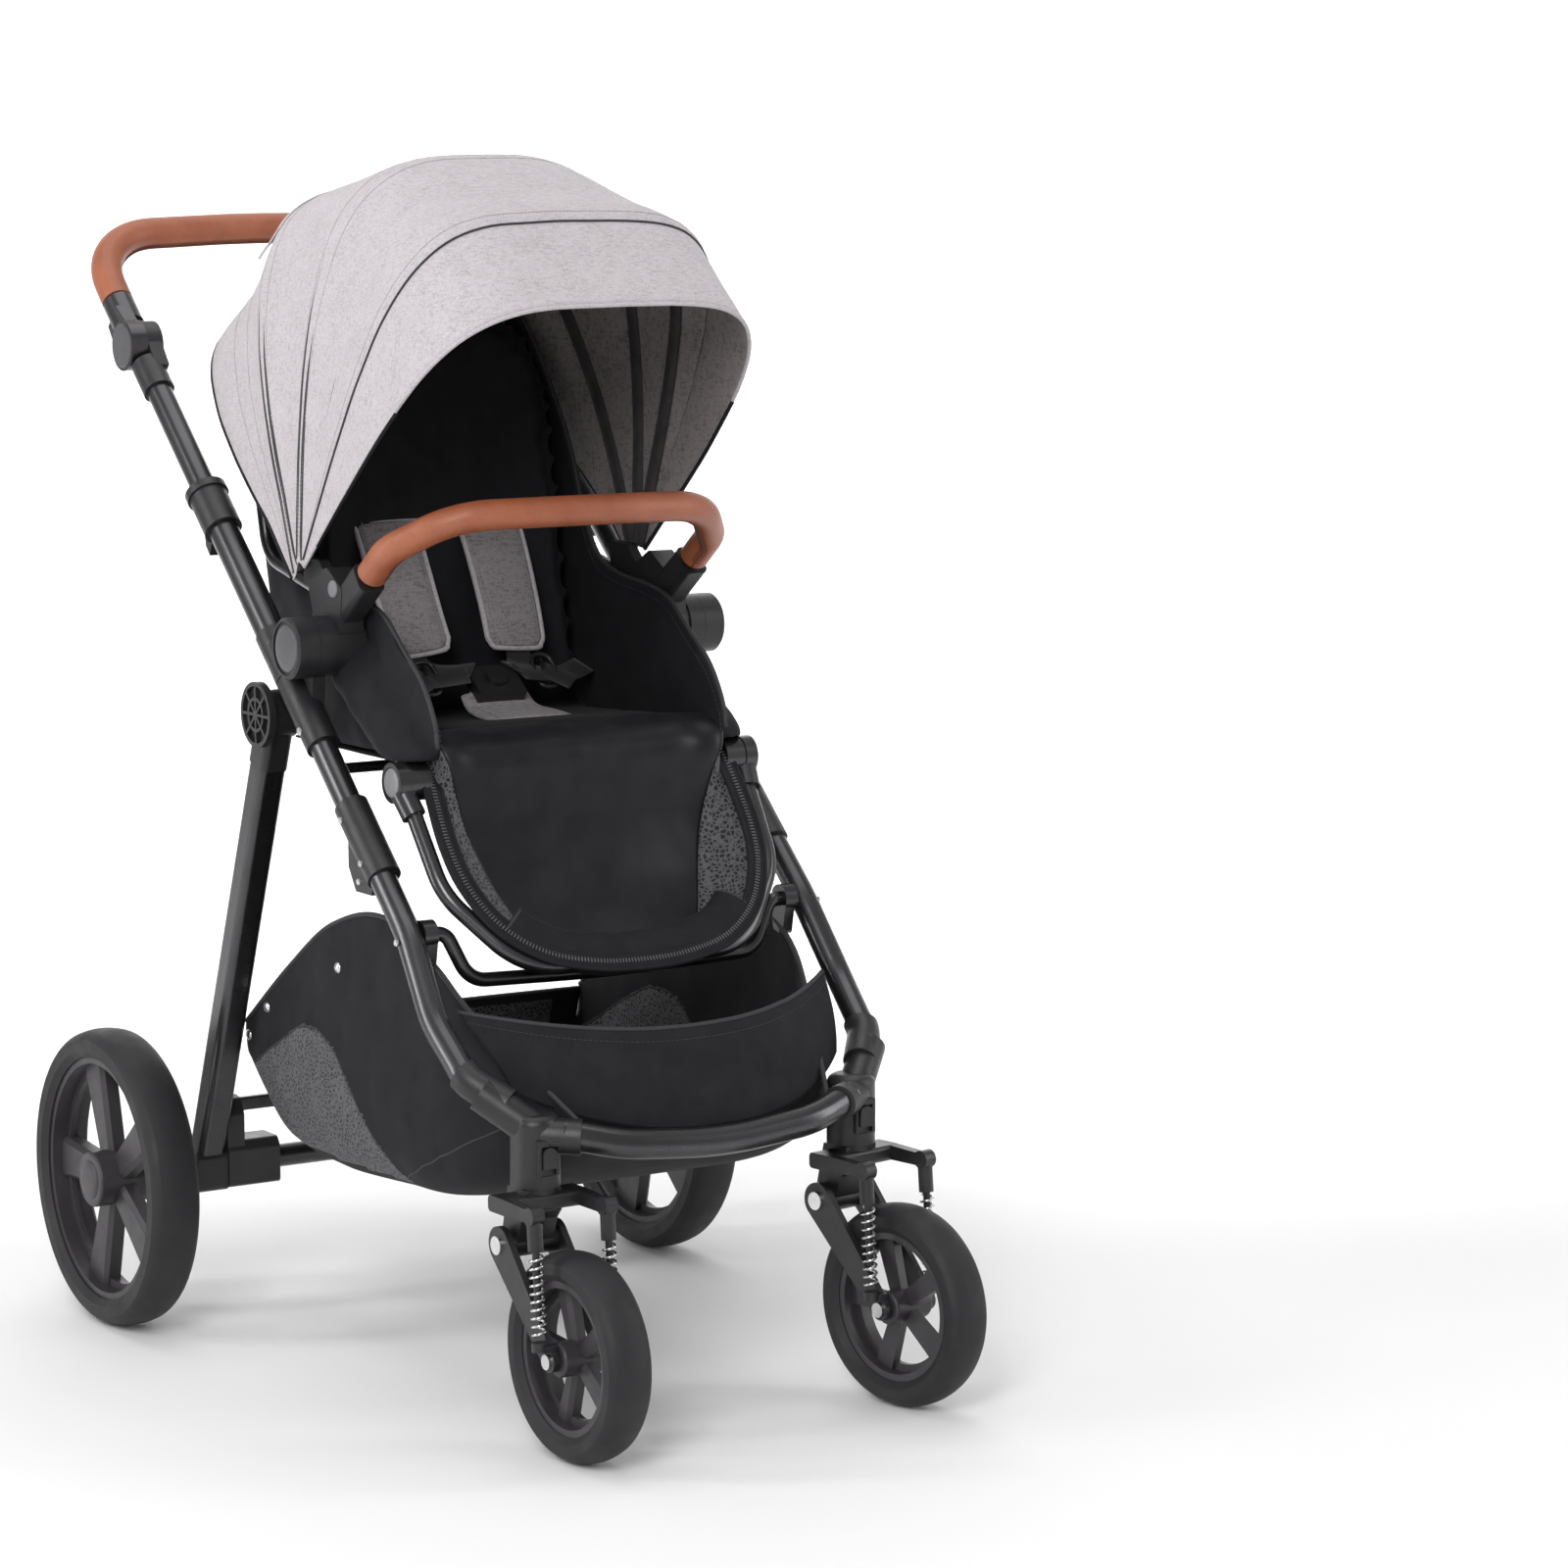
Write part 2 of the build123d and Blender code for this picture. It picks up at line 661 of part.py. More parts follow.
def bumper_tube(grow=0.0):
    return pipe(bumper_path(), [34, 80, 330, 80, 34], 8.0 + grow)


def bumper_grip():
    direction = (cos(radians(BUMPER_ANGLE)), sin(radians(BUMPER_ANGLE)))
    y, z = BUMPER_END
    path = bumper_path()
    path[0] = (166.6, y + 46 * direction[0], z + 46 * direction[1])
    path[-1] = (-path[0][0], path[0][1], path[0][2])
    return pipe(path, [34, 80, 330, 80, 34], 13.5) - bumper_tube()


def seat_frame():
    """Side tubes from hub to leg rest, backrest hoop and rods under the seat."""
    shapes = []
    for side in (-1, 1):
        x = 163.0 * side
        strut = rod((x, -243, 631), (x, -346, 564), 8)
        shapes.append(strut - disc(HUB, 26, -190, 190) - disc(LEG_REST_PIVOT, 18, -190, 190))
        barrel = disc(LEG_REST_PIVOT, 17, 152, 171.6)
        barrel -= disc(LEG_REST_PIVOT, 5, 150, 180)
        shapes.append(barrel if side > 0 else mirrored(barrel))
    right = [(159, -176, 700), (158, -72, 722), (146, 7, 948)]
    hoop = pipe(right + [(-x, y, z) for x, y, z in reversed(right)], [40, 60, 60, 40], 6)
    for hub in pair(seat_hub()):
        hoop -= hub
    shapes.append(hoop)
    for y, z in ((-196, 538), (-315, 538)):
        shapes.append(rod((-150, y, z), (150, y, z), 5))
    return shapes


SEAT_HALF = 148.0


def seat_shell():
    """Fabric bucket: seat, backrest and the two side walls, open in front and above."""
    side = [(-372, 592), (-330, 548), (-130, 546), (-92, 560), (-70, 700), (-14, 945)]
    side += [(-32, 950), (-92, 720), (-150, 700), (-240, 668), (-352, 640)]
    outer = plate(side, -SEAT_HALF, SEAT_HALF)
    inside = [(-420, 596), (-340, 574), (-128, 568), (-112, 578), (-42, 980), (-420, 980)]
    room = plate(inside, -SEAT_HALF + 5, SEAT_HALF - 5)
    body = outer - room
    body -= disc(LEG_REST_PIVOT, 47, -200, 200)
    return body.solids().sort_by(SortBy.VOLUME)[-1]


def harness_pads():
    """Shoulder pads on the backrest and the crotch pad on the seat."""
    shapes = []
    for side in (-1, 1):
        x = 62 * side
        pad = plate([(-121, 628), (-105, 628), (-83.5, 752), (-98, 754)], x - 26, x + 26)
        shapes.append(pad)
    crotch = [(-262, 573), (-196, 571), (-178, 598), (-190, 606), (-212, 586), (-262, 584)]
    shapes.append(plate(crotch, -36, 36))
    return shapes


def buckle():
    body = plate([(-226, 592), (-196, 614), (-202, 624), (-234, 602)], -24, 24)
    where = buckle_plane()
    body -= extrude(where.offset(-4) * Circle(10 + GAP), 20)
    return body


def buckle_plane():
    return Plane(origin=(0, -218, 613), z_dir=(0, -0.58, 0.81), x_dir=(1, 0, 0))


def buckle_button():
    return extrude(buckle_plane().offset(-1.8) * Circle(10), 6)


def arch(half, rise):
    """Half-outline of the canopy over the seat, from one pivot to the other."""
    path = FilletPolyline(
        (half, 9), (half, rise - 28), (0, rise), (-half, rise - 28), (-half, 9), radius=[110, 420, 110]
    )
    return make_face(path + Line((-half, 9), (half, 9)))


def canopy_panel(level, start, end):
    """Slice of the hood turned about the canopy pivots from start to end degrees."""
    half = CANOPY_HALF - level * NEST
    rise = CANOPY_RISE - level * NEST
    skin = arch(half, rise) - arch(half - CLOTH, rise - CLOTH)
    skin -= Pos(0, 4) * Rectangle(2 * half + 10, 26)
    slice_ = revolve(Rot(start, 0, 0) * skin, Axis.X, revolution_arc=end - start)
    return (Pos(0, *CANOPY) * slice_).solids().sort_by(SortBy.VOLUME)[-1]


# ------------------------------------------------------------------ leg rest


REST_DIR = (-cos(radians(LEG_REST_ANGLE)), -sin(radians(LEG_REST_ANGLE)))
REST_OUT = (REST_DIR[1], -REST_DIR[0])


def on_rest(u, v):
    """Side-view point u down the leg rest and v in front of its tube."""
    return (
        LEG_REST_PIVOT[0] + u * REST_DIR[0] + v * REST_OUT[0],
        LEG_REST_PIVOT[1] + u * REST_DIR[1] + v * REST_OUT[1],
    )


def leg_rest_frame():
    """U tube with a round joint at each end."""
    path = [
        at_x(172, on_rest(24, 0)),
        at_x(168, on_rest(112, 0)),
        at_x(112, on_rest(190, 0)),
        at_x(-112, on_rest(190, 0)),
        at_x(-168, on_rest(112, 0)),
        at_x(-172, on_rest(24, 0)),
    ]
    tube = pipe(path, [70, 70, 70, 70], 7.5)
    shapes = [tube]
    for side in (1, -1):
        knuckle = disc(LEG_REST_PIVOT, 18, 172, 184)
        knuckle += rod(at_x(176, on_rest(10, 0)), at_x(172, on_rest(34, 0)), 11)
        knuckle -= disc(LEG_REST_PIVOT, 17.4, 150, 171.9)
        knuckle -= disc(LEG_REST_PIVOT, 14, 182, 190)
        knuckle += disc(LEG_REST_PIVOT, 4.95, 154, 174)
        knuckle = knuckle if side > 0 else mirrored(knuckle)
        shapes.append((knuckle - tube).solids().sort_by(SortBy.VOLUME)[-1])
    return shapes


def leg_rest_pad():
    """Padded panel behind the leg rest's tube, round at its lower end."""
    where = Plane(origin=(0, *on_rest(0, -25)), x_dir=(1, 0, 0), z_dir=(0, *REST_OUT))
    outline = Pos(0, -88) * Rectangle(292, 120) + Pos(0, -122) * Ellipse(146, 78)
    return extrude(where * outline, 16)


# -------------------------------------------------------------------- output


def fork_nodes():
    nodes = {}
    for name, side, yaw in (("left", 1, LEFT_YAW), ("right", -1, RIGHT_YAW)):
        rim, rubber = front_wheel(side, yaw)
        nodes["front_rim_" + name] = rim
        nodes["front_tyre_" + name] = rubber
        nodes["caster_yoke_" + name] = in_caster(side, yaw) * caster_yoke()
        nodes["caster_springs_" + name] = [in_caster(side, yaw) * s for s in caster_springs()]
        nodes["swing_arms_" + name] = [in_caster(side, yaw) * s for s in swing_arms()]
        nodes["fork_bolts_" + name] = [in_caster(side, yaw) * s for s in fork_bolts()]
    return nodes


def sided(name, shape):
    return {name + "_left": shape, name + "_right": mirrored(shape)}


def build():
    nodes = {
        "front_legs": pair(front_leg()),
        "hub_housings": pair(hub_housing()) + [p for s in hub_pins() for p in pair(s)],
        "leg_collars": pair(leg_collar()),
        "leg_crossbar": [crossbar()] + pair(crossbar_clip()),
        "front_joints": pair(front_joint()),
        "front_cross_tube": cross_tube(11.0),
        "basket": basket(),
        "frame_screws": frame_screws(),
        "rear_legs": pair(rear_leg() - stub_axle()),
        "rear_knuckles": pair(rear_knuckle()),
        "hinge_discs": pair(hinge_disc()),
        "rear_axle": [rear_axle()] + pair(stub_axle()),
        "axle_brackets": pair(axle_bracket()),
        "brake_bar": brake_bar(),
        "brake_pedal": brake_pedal(),
        "push_brackets": pair(push_bracket()),
        "push_tubes": pair(push_tube()),
        "inner_tubes": pair(inner_tube()),
        "pivot_housings": pair(pivot_housing()),
        "handle_tube": [handle_tube()] + pair(handle_socket()),
        "handle_grip": handle_grip(),
        "seat_hubs": pair(seat_hub()),
        "seat_frame": seat_frame(),
        "seat_shell": seat_shell(),
        "harness_pads": harness_pads(),
        "buckle": buckle(),
        "buckle_button": buckle_button(),
        "canopy_rear_panel": canopy_panel(2, 36, 74),
        "canopy_middle_panel": canopy_panel(1, 70, 106),
        "canopy_front_panel": canopy_panel(0, 102, 138),
        "leg_rest_frame": leg_rest_frame(),
        "leg_rest_pad": leg_rest_pad(),
        "bumper_tube": bumper_tube(),
        "bumper_grip": bumper_grip(),
    }
    for name, side in (("left", 1), ("right", -1)):
        rim, rubber = rear_wheel(side)
        nodes["rear_rim_" + name] = rim
        nodes["rear_tyre_" + name] = rubber
    nodes.update(fork_nodes())
    nodes.update(sided("swivel_lock", swivel_lock()))
    nodes.update(sided("fold_slider", fold_slider()))
    nodes.update(sided("handle_button", handle_button()))
    nodes.update(sided("bumper_button", bumper_button()))
    nodes.update(sided("seat_release", release_button()))
    return nodes


def write(nodes):
    os.makedirs("parts", exist_ok=True)
    for name, shape in nodes.items():
        solids = []
        for piece in shape if isinstance(shape, list) else [shape]:
            solids += piece.solids()
        moved = [Pos(0, BASE_Y, 0) * s for s in solids]
        export_step(moved[0] if len(moved) == 1 else Compound(moved), "parts/" + name + ".step")


if __name__ == "__main__":
    write(build())
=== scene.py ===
import json
from math import cos, pi, radians, sin, tan

import bmesh
import bpy
from mathutils import Matrix, Vector, noise

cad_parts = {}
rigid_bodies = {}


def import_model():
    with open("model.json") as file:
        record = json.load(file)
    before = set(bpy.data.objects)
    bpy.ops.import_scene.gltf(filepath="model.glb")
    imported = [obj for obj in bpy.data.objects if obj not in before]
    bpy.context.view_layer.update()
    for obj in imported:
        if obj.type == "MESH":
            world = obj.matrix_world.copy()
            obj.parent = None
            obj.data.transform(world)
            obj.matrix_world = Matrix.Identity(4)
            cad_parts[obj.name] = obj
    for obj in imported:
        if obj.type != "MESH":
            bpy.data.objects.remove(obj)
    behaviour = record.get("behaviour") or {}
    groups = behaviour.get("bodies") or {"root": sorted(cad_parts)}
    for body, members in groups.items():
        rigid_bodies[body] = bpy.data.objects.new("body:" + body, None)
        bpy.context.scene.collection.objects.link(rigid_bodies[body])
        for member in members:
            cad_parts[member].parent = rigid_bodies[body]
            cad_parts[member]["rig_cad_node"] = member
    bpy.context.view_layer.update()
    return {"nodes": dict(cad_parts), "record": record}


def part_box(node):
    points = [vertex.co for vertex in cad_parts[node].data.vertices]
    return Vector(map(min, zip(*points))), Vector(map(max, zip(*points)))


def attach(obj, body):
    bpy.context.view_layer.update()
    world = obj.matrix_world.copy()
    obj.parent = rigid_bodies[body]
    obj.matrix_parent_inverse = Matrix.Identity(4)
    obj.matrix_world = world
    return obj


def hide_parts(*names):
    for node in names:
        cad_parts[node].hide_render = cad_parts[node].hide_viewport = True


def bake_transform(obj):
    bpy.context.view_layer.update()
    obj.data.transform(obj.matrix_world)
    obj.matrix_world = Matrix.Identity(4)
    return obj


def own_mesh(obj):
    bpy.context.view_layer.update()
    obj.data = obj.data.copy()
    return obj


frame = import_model()

# Places are written in millimetres from the rear axle, as at(x, y, z): +X on the pusher's left,
# the stroller faces -Y, and z is the height above the floor.
_low, _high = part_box("rear_tyre_left")
AXLE_Y = (_low[1] + _high[1]) / 2
MM = 0.001


def at(x, y, z):
    return Vector((x * MM, y * MM + AXLE_Y, z * MM))


# ------------------------------------------------------------------ materials


class Shade:
    """A material with one Principled shader and short calls for its nodes."""

    def __init__(self, name, **sockets):
        self.material = bpy.data.materials.new(name)
        self.material.use_nodes = True
        self.tree = self.material.node_tree
        self.shader = self.tree.nodes["Principled BSDF"]
        for key, value in sockets.items():
            self.shader.inputs[key.replace("_", " ")].default_value = value
        self.where = self.add("ShaderNodeTexCoord").outputs["Object"]

    def add(self, kind, inputs=None, **settings):
        node = self.tree.nodes.new(kind)
        for key, value in settings.items():
            setattr(node, key, value)
        for key, value in (inputs or {}).items():
            if isinstance(value, bpy.types.NodeSocket):
                self.tree.links.new(value, node.inputs[key])
            else:
                node.inputs[key].default_value = value
        return node

    def noise(self, scale, detail=3.0, rough=0.55, stretch=None):
        where = self.where
        if stretch:
            where = self.add("ShaderNodeMapping", {"Vector": where, "Scale": stretch}).outputs[0]
        inputs = {"Vector": where, "Scale": scale, "Detail": detail, "Roughness": rough}
        return self.add("ShaderNodeTexNoise", inputs).outputs["Fac"]

    def cells(self, scale, feature="F1"):
        made = self.add("ShaderNodeTexVoronoi", {"Vector": self.where, "Scale": scale}, feature=feature)
        return made.outputs["Distance"]

    def ramp(self, value, *stops):
        node = self.add("ShaderNodeValToRGB", {"Fac": value})
        bar = node.color_ramp
        for n, (place, colour) in enumerate(stops):
            stop = bar.elements[n] if n < 2 else bar.elements.new(place)
            stop.position = place
            stop.color = (*colour, 1) if hasattr(colour, "__len__") else (colour, colour, colour, 1)
        return node.outputs["Color"]

    def math(self, operation, a, b=0.0):
        return self.add("ShaderNodeMath", {0: a, 1: b}, operation=operation).outputs[0]

    def mix(self, factor, a, b, blend="MIX"):
        node = self.add("ShaderNodeMix", data_type="RGBA", blend_type=blend)
        for socket, value in ((node.inputs[0], factor), (node.inputs[6], a), (node.inputs[7], b)):
            if isinstance(value, bpy.types.NodeSocket):
                self.tree.links.new(value, socket)
            else:
                socket.default_value = value if not hasattr(value, "__len__") else (*value, 1)
        return node.outputs[2]

    def colour(self, socket):
        self.tree.links.new(socket, self.shader.inputs["Base Color"])

    def roughness(self, socket):
        self.tree.links.new(socket, self.shader.inputs["Roughness"])

    def bump(self, height, strength, distance):
        node = self.add("ShaderNodeBump", {"Height": height, "Strength": strength, "Distance": distance})
        self.tree.links.new(node.outputs[0], self.shader.inputs["Normal"])

    def weave(self, pitch):
        """Height of two crossed sets of broad waves, pitch metres apart."""
        inputs = {"Vector": self.where, "Scale": 0.314 / pitch, "Distortion": 1.2, "Detail": 1.0}
        inputs["Detail Scale"] = 3.0
        crossed = []
        for direction in ("X", "Z"):
            wave = self.add("ShaderNodeTexWave", inputs, bands_direction=direction)
            crossed.append(wave.outputs["Fac"])
        return self.math("ADD", *crossed)


def tube_paint():
    s = Shade("tube_paint", Metallic=0.9, Roughness=0.3, Coat_Weight=0.3, Coat_Roughness=0.15)
    fine = s.noise(900, 2)
    broad = s.noise(9, 3)
    s.colour(s.ramp(broad, (0.3, (0.060, 0.059, 0.062)), (0.75, (0.085, 0.084, 0.089))))
    s.roughness(s.ramp(fine, (0.25, 0.26), (0.8, 0.36)))
    s.bump(fine, 0.08, 0.0002)
    return s.material


def moulded(name, dark, light, rough, grain=2600, bump=0.25):
    """Fine-grained moulded plastic."""
    s = Shade(name, Roughness=rough)
    cells = s.cells(grain)
    broad = s.noise(30, 4)
    base = s.ramp(broad, (0.3, dark), (0.75, light))
    s.colour(base)
    s.roughness(s.ramp(s.noise(70, 3), (0.3, rough - 0.06), (0.75, rough + 0.08)))
    s.bump(cells, bump, 0.00025)
    return s.material


def steel():
    s = Shade("bright_steel", Metallic=1.0, Roughness=0.22)
    fine = s.noise(700, 2, stretch=(1, 1, 0.2))
    s.colour(s.ramp(s.noise(60, 3), (0.3, (0.60, 0.60, 0.61)), (0.8, (0.80, 0.80, 0.80))))
    s.roughness(s.ramp(fine, (0.2, 0.16), (0.8, 0.32)))
    return s.material


def foam_rubber():
    s = Shade("tyre_foam", Roughness=0.62, Specular_IOR_Level=0.35)
    speckle = s.noise(1500, 2)
    s.colour(s.ramp(s.noise(22, 4), (0.3, (0.016, 0.015, 0.017)), (0.75, (0.023, 0.022, 0.024))))
    s.roughness(s.ramp(s.noise(40, 3), (0.3, 0.52), (0.7, 0.68)))
    s.bump(speckle, 0.3, 0.0003)
    return s.material


def leather():
    s = Shade("brown_leather", Roughness=0.42, Coat_Weight=0.12, Coat_Roughness=0.3)
    pores = s.cells(620)
    creases = s.add("ShaderNodeTexVoronoi", {"Vector": s.where, "Scale": 480}, feature="DISTANCE_TO_EDGE")
    crease = s.ramp(creases.outputs["Distance"], (0.0, 0.0), (0.09, 1.0))
    patch = s.noise(26, 5, 0.6)
    browns = ((0.25, (0.27, 0.072, 0.030)), (0.5, (0.34, 0.098, 0.042)), (0.8, (0.40, 0.125, 0.055)))
    brown = s.ramp(patch, *browns)
    dark = s.mix(0.35, brown, (0.12, 0.035, 0.015))
    s.colour(s.mix(crease, dark, brown))
    s.roughness(s.ramp(patch, (0.2, 0.36), (0.8, 0.50)))
    s.bump(s.math("ADD", s.math("MULTIPLY", crease, 0.7), pores), 0.35, 0.0005)
    return s.material


def heather(name, light, dark, fleck=520, sheen=0.08):
    """Melange weave: light and dark threads mixed at random along two directions."""
    s = Shade(name, Roughness=0.92, Sheen_Weight=sheen, Sheen_Roughness=0.5, Specular_IOR_Level=0.2)
    warp = s.noise(fleck, 2, 0.7, stretch=(1.0, 1.0, 0.22))
    weft = s.noise(fleck, 2, 0.7, stretch=(0.22, 0.3, 1.0))
    cloud = s.noise(34, 4, 0.6)
    threads = s.math("MULTIPLY", s.math("ADD", warp, weft), 0.5)
    mixed = s.math("ADD", threads, s.math("MULTIPLY", s.math("SUBTRACT", cloud, 0.5), 0.18))
    s.colour(s.ramp(mixed, (0.36, dark), (0.50, light), (0.66, tuple(min(1, c * 1.12) for c in light))))
    s.bump(s.math("ADD", threads, s.math("MULTIPLY", s.weave(0.9), 0.3)), 0.45, 0.0006)
    return s.material


def plain_cloth(name, dark, light, rough=0.8, sheen=0.03, pitch=0.8, bump=0.3):
    """Fine polyester weave."""
    s = Shade(name, Roughness=rough, Sheen_Weight=sheen, Sheen_Roughness=0.4, Specular_IOR_Level=0.22)
    weave = s.weave(pitch)
    cloud = s.noise(40, 4, 0.6)
    s.colour(s.ramp(cloud, (0.3, dark), (0.75, light)))
    s.roughness(s.ramp(s.noise(18, 3), (0.3, rough - 0.07), (0.75, rough + 0.05)))
    s.bump(s.math("ADD", weave, s.noise(900, 2)), bump, 0.0004)
    return s.material


def net():
    """Open mesh: dark cord round small holes."""
    s = Shade("mesh_net", Roughness=0.7, Sheen_Weight=0.1)
    holes = s.add("ShaderNodeTexVoronoi", {"Vector": s.where, "Scale": 250}, feature="DISTANCE_TO_EDGE")
    cord = s.ramp(holes.outputs["Distance"], (0.10, 1.0), (0.24, 0.0))
    s.colour(s.mix(cord, (0.002, 0.002, 0.0025), (0.085, 0.085, 0.092)))
    s.bump(cord, 0.8, 0.0008)
    return s.material


def webbing():
    s = Shade("black_webbing", Roughness=0.6, Sheen_Weight=0.1)
    rib = s.weave(1.6)
    s.colour(s.ramp(rib, (0.5, (0.008, 0.008, 0.009)), (1.0, (0.022, 0.022, 0.025))))
    s.bump(rib, 0.7, 0.0006)
    return s.material


def thread(name, colour):
    s = Shade(name, Roughness=0.7)
    s.colour(s.ramp(s.noise(1200, 2), (0.3, tuple(c * 0.7 for c in colour)), (0.7, colour)))
    s.bump(s.noise(2200, 2), 0.4, 0.0003)
    return s.material


TUBE = tube_paint()
BLACK = moulded("black_plastic", (0.013, 0.013, 0.0145), (0.019, 0.019, 0.021), 0.36)
GREY = moulded("grey_plastic", (0.17, 0.17, 0.18), (0.22, 0.22, 0.23), 0.36, bump=0.1)
CAP = moulded("cap_plastic", (0.065, 0.065, 0.07), (0.085, 0.085, 0.09), 0.40, bump=0.15)
RIM = moulded("wheel_plastic", (0.030, 0.027, 0.030), (0.042, 0.038, 0.042), 0.42)
STEEL = steel()
TYRE = foam_rubber()
LEATHER = leather()
HEATHER = heather("hood_cloth", (0.475, 0.44, 0.46), (0.36, 0.335, 0.35), fleck=640)
LINING = heather("hood_lining", (0.25, 0.225, 0.22), (0.13, 0.115, 0.115), fleck=420)
PAD_GREY = heather("harness_cloth", (0.27, 0.25, 0.255), (0.15, 0.14, 0.145))
CLOTH = plain_cloth("black_fabric", (0.0085, 0.0085, 0.0105), (0.0135, 0.0135, 0.0165))
SATIN = plain_cloth(
    "coated_fabric", (0.009, 0.009, 0.011), (0.014, 0.014, 0.017), rough=0.42, sheen=0.02, bump=0.12
)
NET = net()
WEBBING = webbing()
TAPE = plain_cloth("rib_tape", (0.035, 0.032, 0.034), (0.06, 0.055, 0.058))
DARK_THREAD = thread("dark_thread", (0.03, 0.03, 0.033))
GREY_THREAD = thread("grey_thread", (0.42, 0.40, 0.41))
BROWN_THREAD = thread("brown_thread", (0.16, 0.05, 0.025))

SLOT_MATERIALS = {
    "anthracite_tube": TUBE,
    "black_plastic": BLACK,
    "grey_plastic": GREY,
    "bright_steel": STEEL,
    "wheel_plastic": RIM,
    "tyre_foam": TYRE,
    "brown_leather": LEATHER,
    "black_fabric": CLOTH,
    "grey_fabric": HEATHER,
}
for part in frame["record"]["subparts"]:
    node = frame["nodes"][part["node"]]
    if not node.material_slots:
        node.data.materials.append(None)
    for place in node.material_slots:
        place.material = SLOT_MATERIALS[part["material_slot"]]
FINISHES = {"buckle_button": BLACK, "seat_release": CAP, "handle_button": CAP, "bumper_button": GREY}
for name, finish in FINISHES.items():
    for node in frame["nodes"].values():
        if node["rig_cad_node"].startswith(name):
            for place in node.material_slots:
                place.material = finish


# ---------------------------------------------------------------- mesh makers


def dress(data, materials):
    """Give a mesh these materials. Clearing the old ones resets the faces' numbers, so those are put back."""
    numbers = [face.material_index for face in data.polygons]
    data.materials.clear()
    for material in materials:
        data.materials.append(material)
    data.polygons.foreach_set("material_index", numbers)


def piece(name, mesh_or_data, materials, body=None):
    """New object from a bmesh or mesh, with its materials; it rides on body."""
    if isinstance(mesh_or_data, bmesh.types.BMesh):
        data = bpy.data.meshes.new(name)
        mesh_or_data.to_mesh(data)
        mesh_or_data.free()
    else:
        data = mesh_or_data
        data.name = name
    obj = bpy.data.objects.new(name, data)
    bpy.context.scene.collection.objects.link(obj)
    dress(data, materials if isinstance(materials, (list, tuple)) else [materials])
    data.polygons.foreach_set("use_smooth", [True] * len(data.polygons))
    if body:
        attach(obj, body)
    return obj


def bake(obj):
    """Apply every modifier."""
    evaluated = obj.evaluated_get(bpy.context.evaluated_depsgraph_get())
    data = bpy.data.meshes.new_from_object(evaluated)
    obj.modifiers.clear()
    obj.data = data
    return obj


def modified(obj, kind, **settings):
    made = obj.modifiers.new(kind, kind)
    for key, value in settings.items():
        setattr(made, key, value)
    return bake(obj)


def grid(surface, columns, rows, around=False, choose=None):
    """bmesh of surface(u, v), both 0 to 1. choose(u, v) gives each face's material number."""
    bm = bmesh.new()
    points = []
    for j in range(rows + 1):
        count = columns if around else columns + 1
        points.append([bm.verts.new(surface(i / columns, j / rows)) for i in range(count)])
    for j in range(rows):
        for i in range(columns):
            k = (i + 1) % columns if around else i + 1
            face = bm.faces.new((points[j][i], points[j][k], points[j + 1][k], points[j + 1][i]))
            if choose:
                face.material_index = choose((i + 0.5) / columns, (j + 0.5) / rows)
    return bm


def evenly(fine, count):
    """The same polyline read at count even steps."""
    lengths = [0.0]
    for a, b in zip(fine, fine[1:]):
        lengths.append(lengths[-1] + (b - a).length)
    even, k = [], 0
    for n in range(count + 1):
        goal = lengths[-1] * n / count
        while k < len(fine) - 2 and lengths[k + 1] < goal:
            k += 1
        span = lengths[k + 1] - lengths[k]
        even.append(fine[k].lerp(fine[k + 1], (goal - lengths[k]) / span if span else 0))
    return even


def smooth_path(points, count, closed=False):
    """Catmull-Rom curve through the points, at count even steps."""
    if closed:
        ring = [points[-1]] + list(points) + [points[0], points[1]]
    else:
        ring = [2 * points[0] - points[1]] + list(points) + [2 * points[-1] - points[-2]]
    fine = []
    for a, b, c, d in zip(ring, ring[1:], ring[2:], ring[3:]):
        square, cube = 2 * a - 5 * b + 4 * c - d, 3 * b - a - 3 * c + d
        for n in range(16):
            t = n / 16
            fine.append(0.5 * (2 * b + (c - a) * t + square * t**2 + cube * t**3))
    return evenly(fine + [Vector(ring[-2])], count)


def side_line(points, count):
    """Smooth line through (y, z) points in side view, in millimetres."""
    return smooth_path([Vector((0, y, z)) for y, z in points], count)


def point_on(path, t):
    """Point at t, 0 to 1, of a path with even steps."""
    steps = len(path) - 1
    k = min(int(t * steps), steps - 1)
    return path[k].lerp(path[k + 1], t * steps - k)


def frames_along(path, up, closed=False):
    """Tangent, side and normal at each point of a path, the normal as near to up as it can be."""
    made = []
    for n, point in enumerate(path):
        before = path[n - 1] if n or closed else point
        after = path[(n + 1) % len(path)] if n < len(path) - 1 or closed else point
        tangent = (after - before).normalized()
        wish = up(n / max(1, len(path) - 1)) if callable(up) else up
        side = tangent.cross(wish).normalized()
        made.append((tangent, side, side.cross(tangent).normalized()))
    return made


def ribbon(path, up, half, thick, bm=None):
    """Flat strap along a path, half wide each way and thick along its normal."""
    bm = bm or bmesh.new()
    rows = []
    for n, (point, (_, side, normal)) in enumerate(zip(path, frames_along(path, up))):
        reach = half(n / (len(path) - 1)) if callable(half) else half
        edge = min(thick / 2, reach / 2)
        ring = [(-reach, 0), (-reach + edge, thick / 2), (reach - edge, thick / 2)]
        ring += [(reach, 0), (reach - edge, -thick / 2), (-reach + edge, -thick / 2)]
        rows.append([bm.verts.new(point + side * a + normal * b) for a, b in ring])
    for first, second in zip(rows, rows[1:]):
        for i in range(6):
            bm.faces.new((first[i], first[(i + 1) % 6], second[(i + 1) % 6], second[i]))
    bm.faces.new(list(reversed(rows[0])))
    bm.faces.new(rows[-1])
    return bm


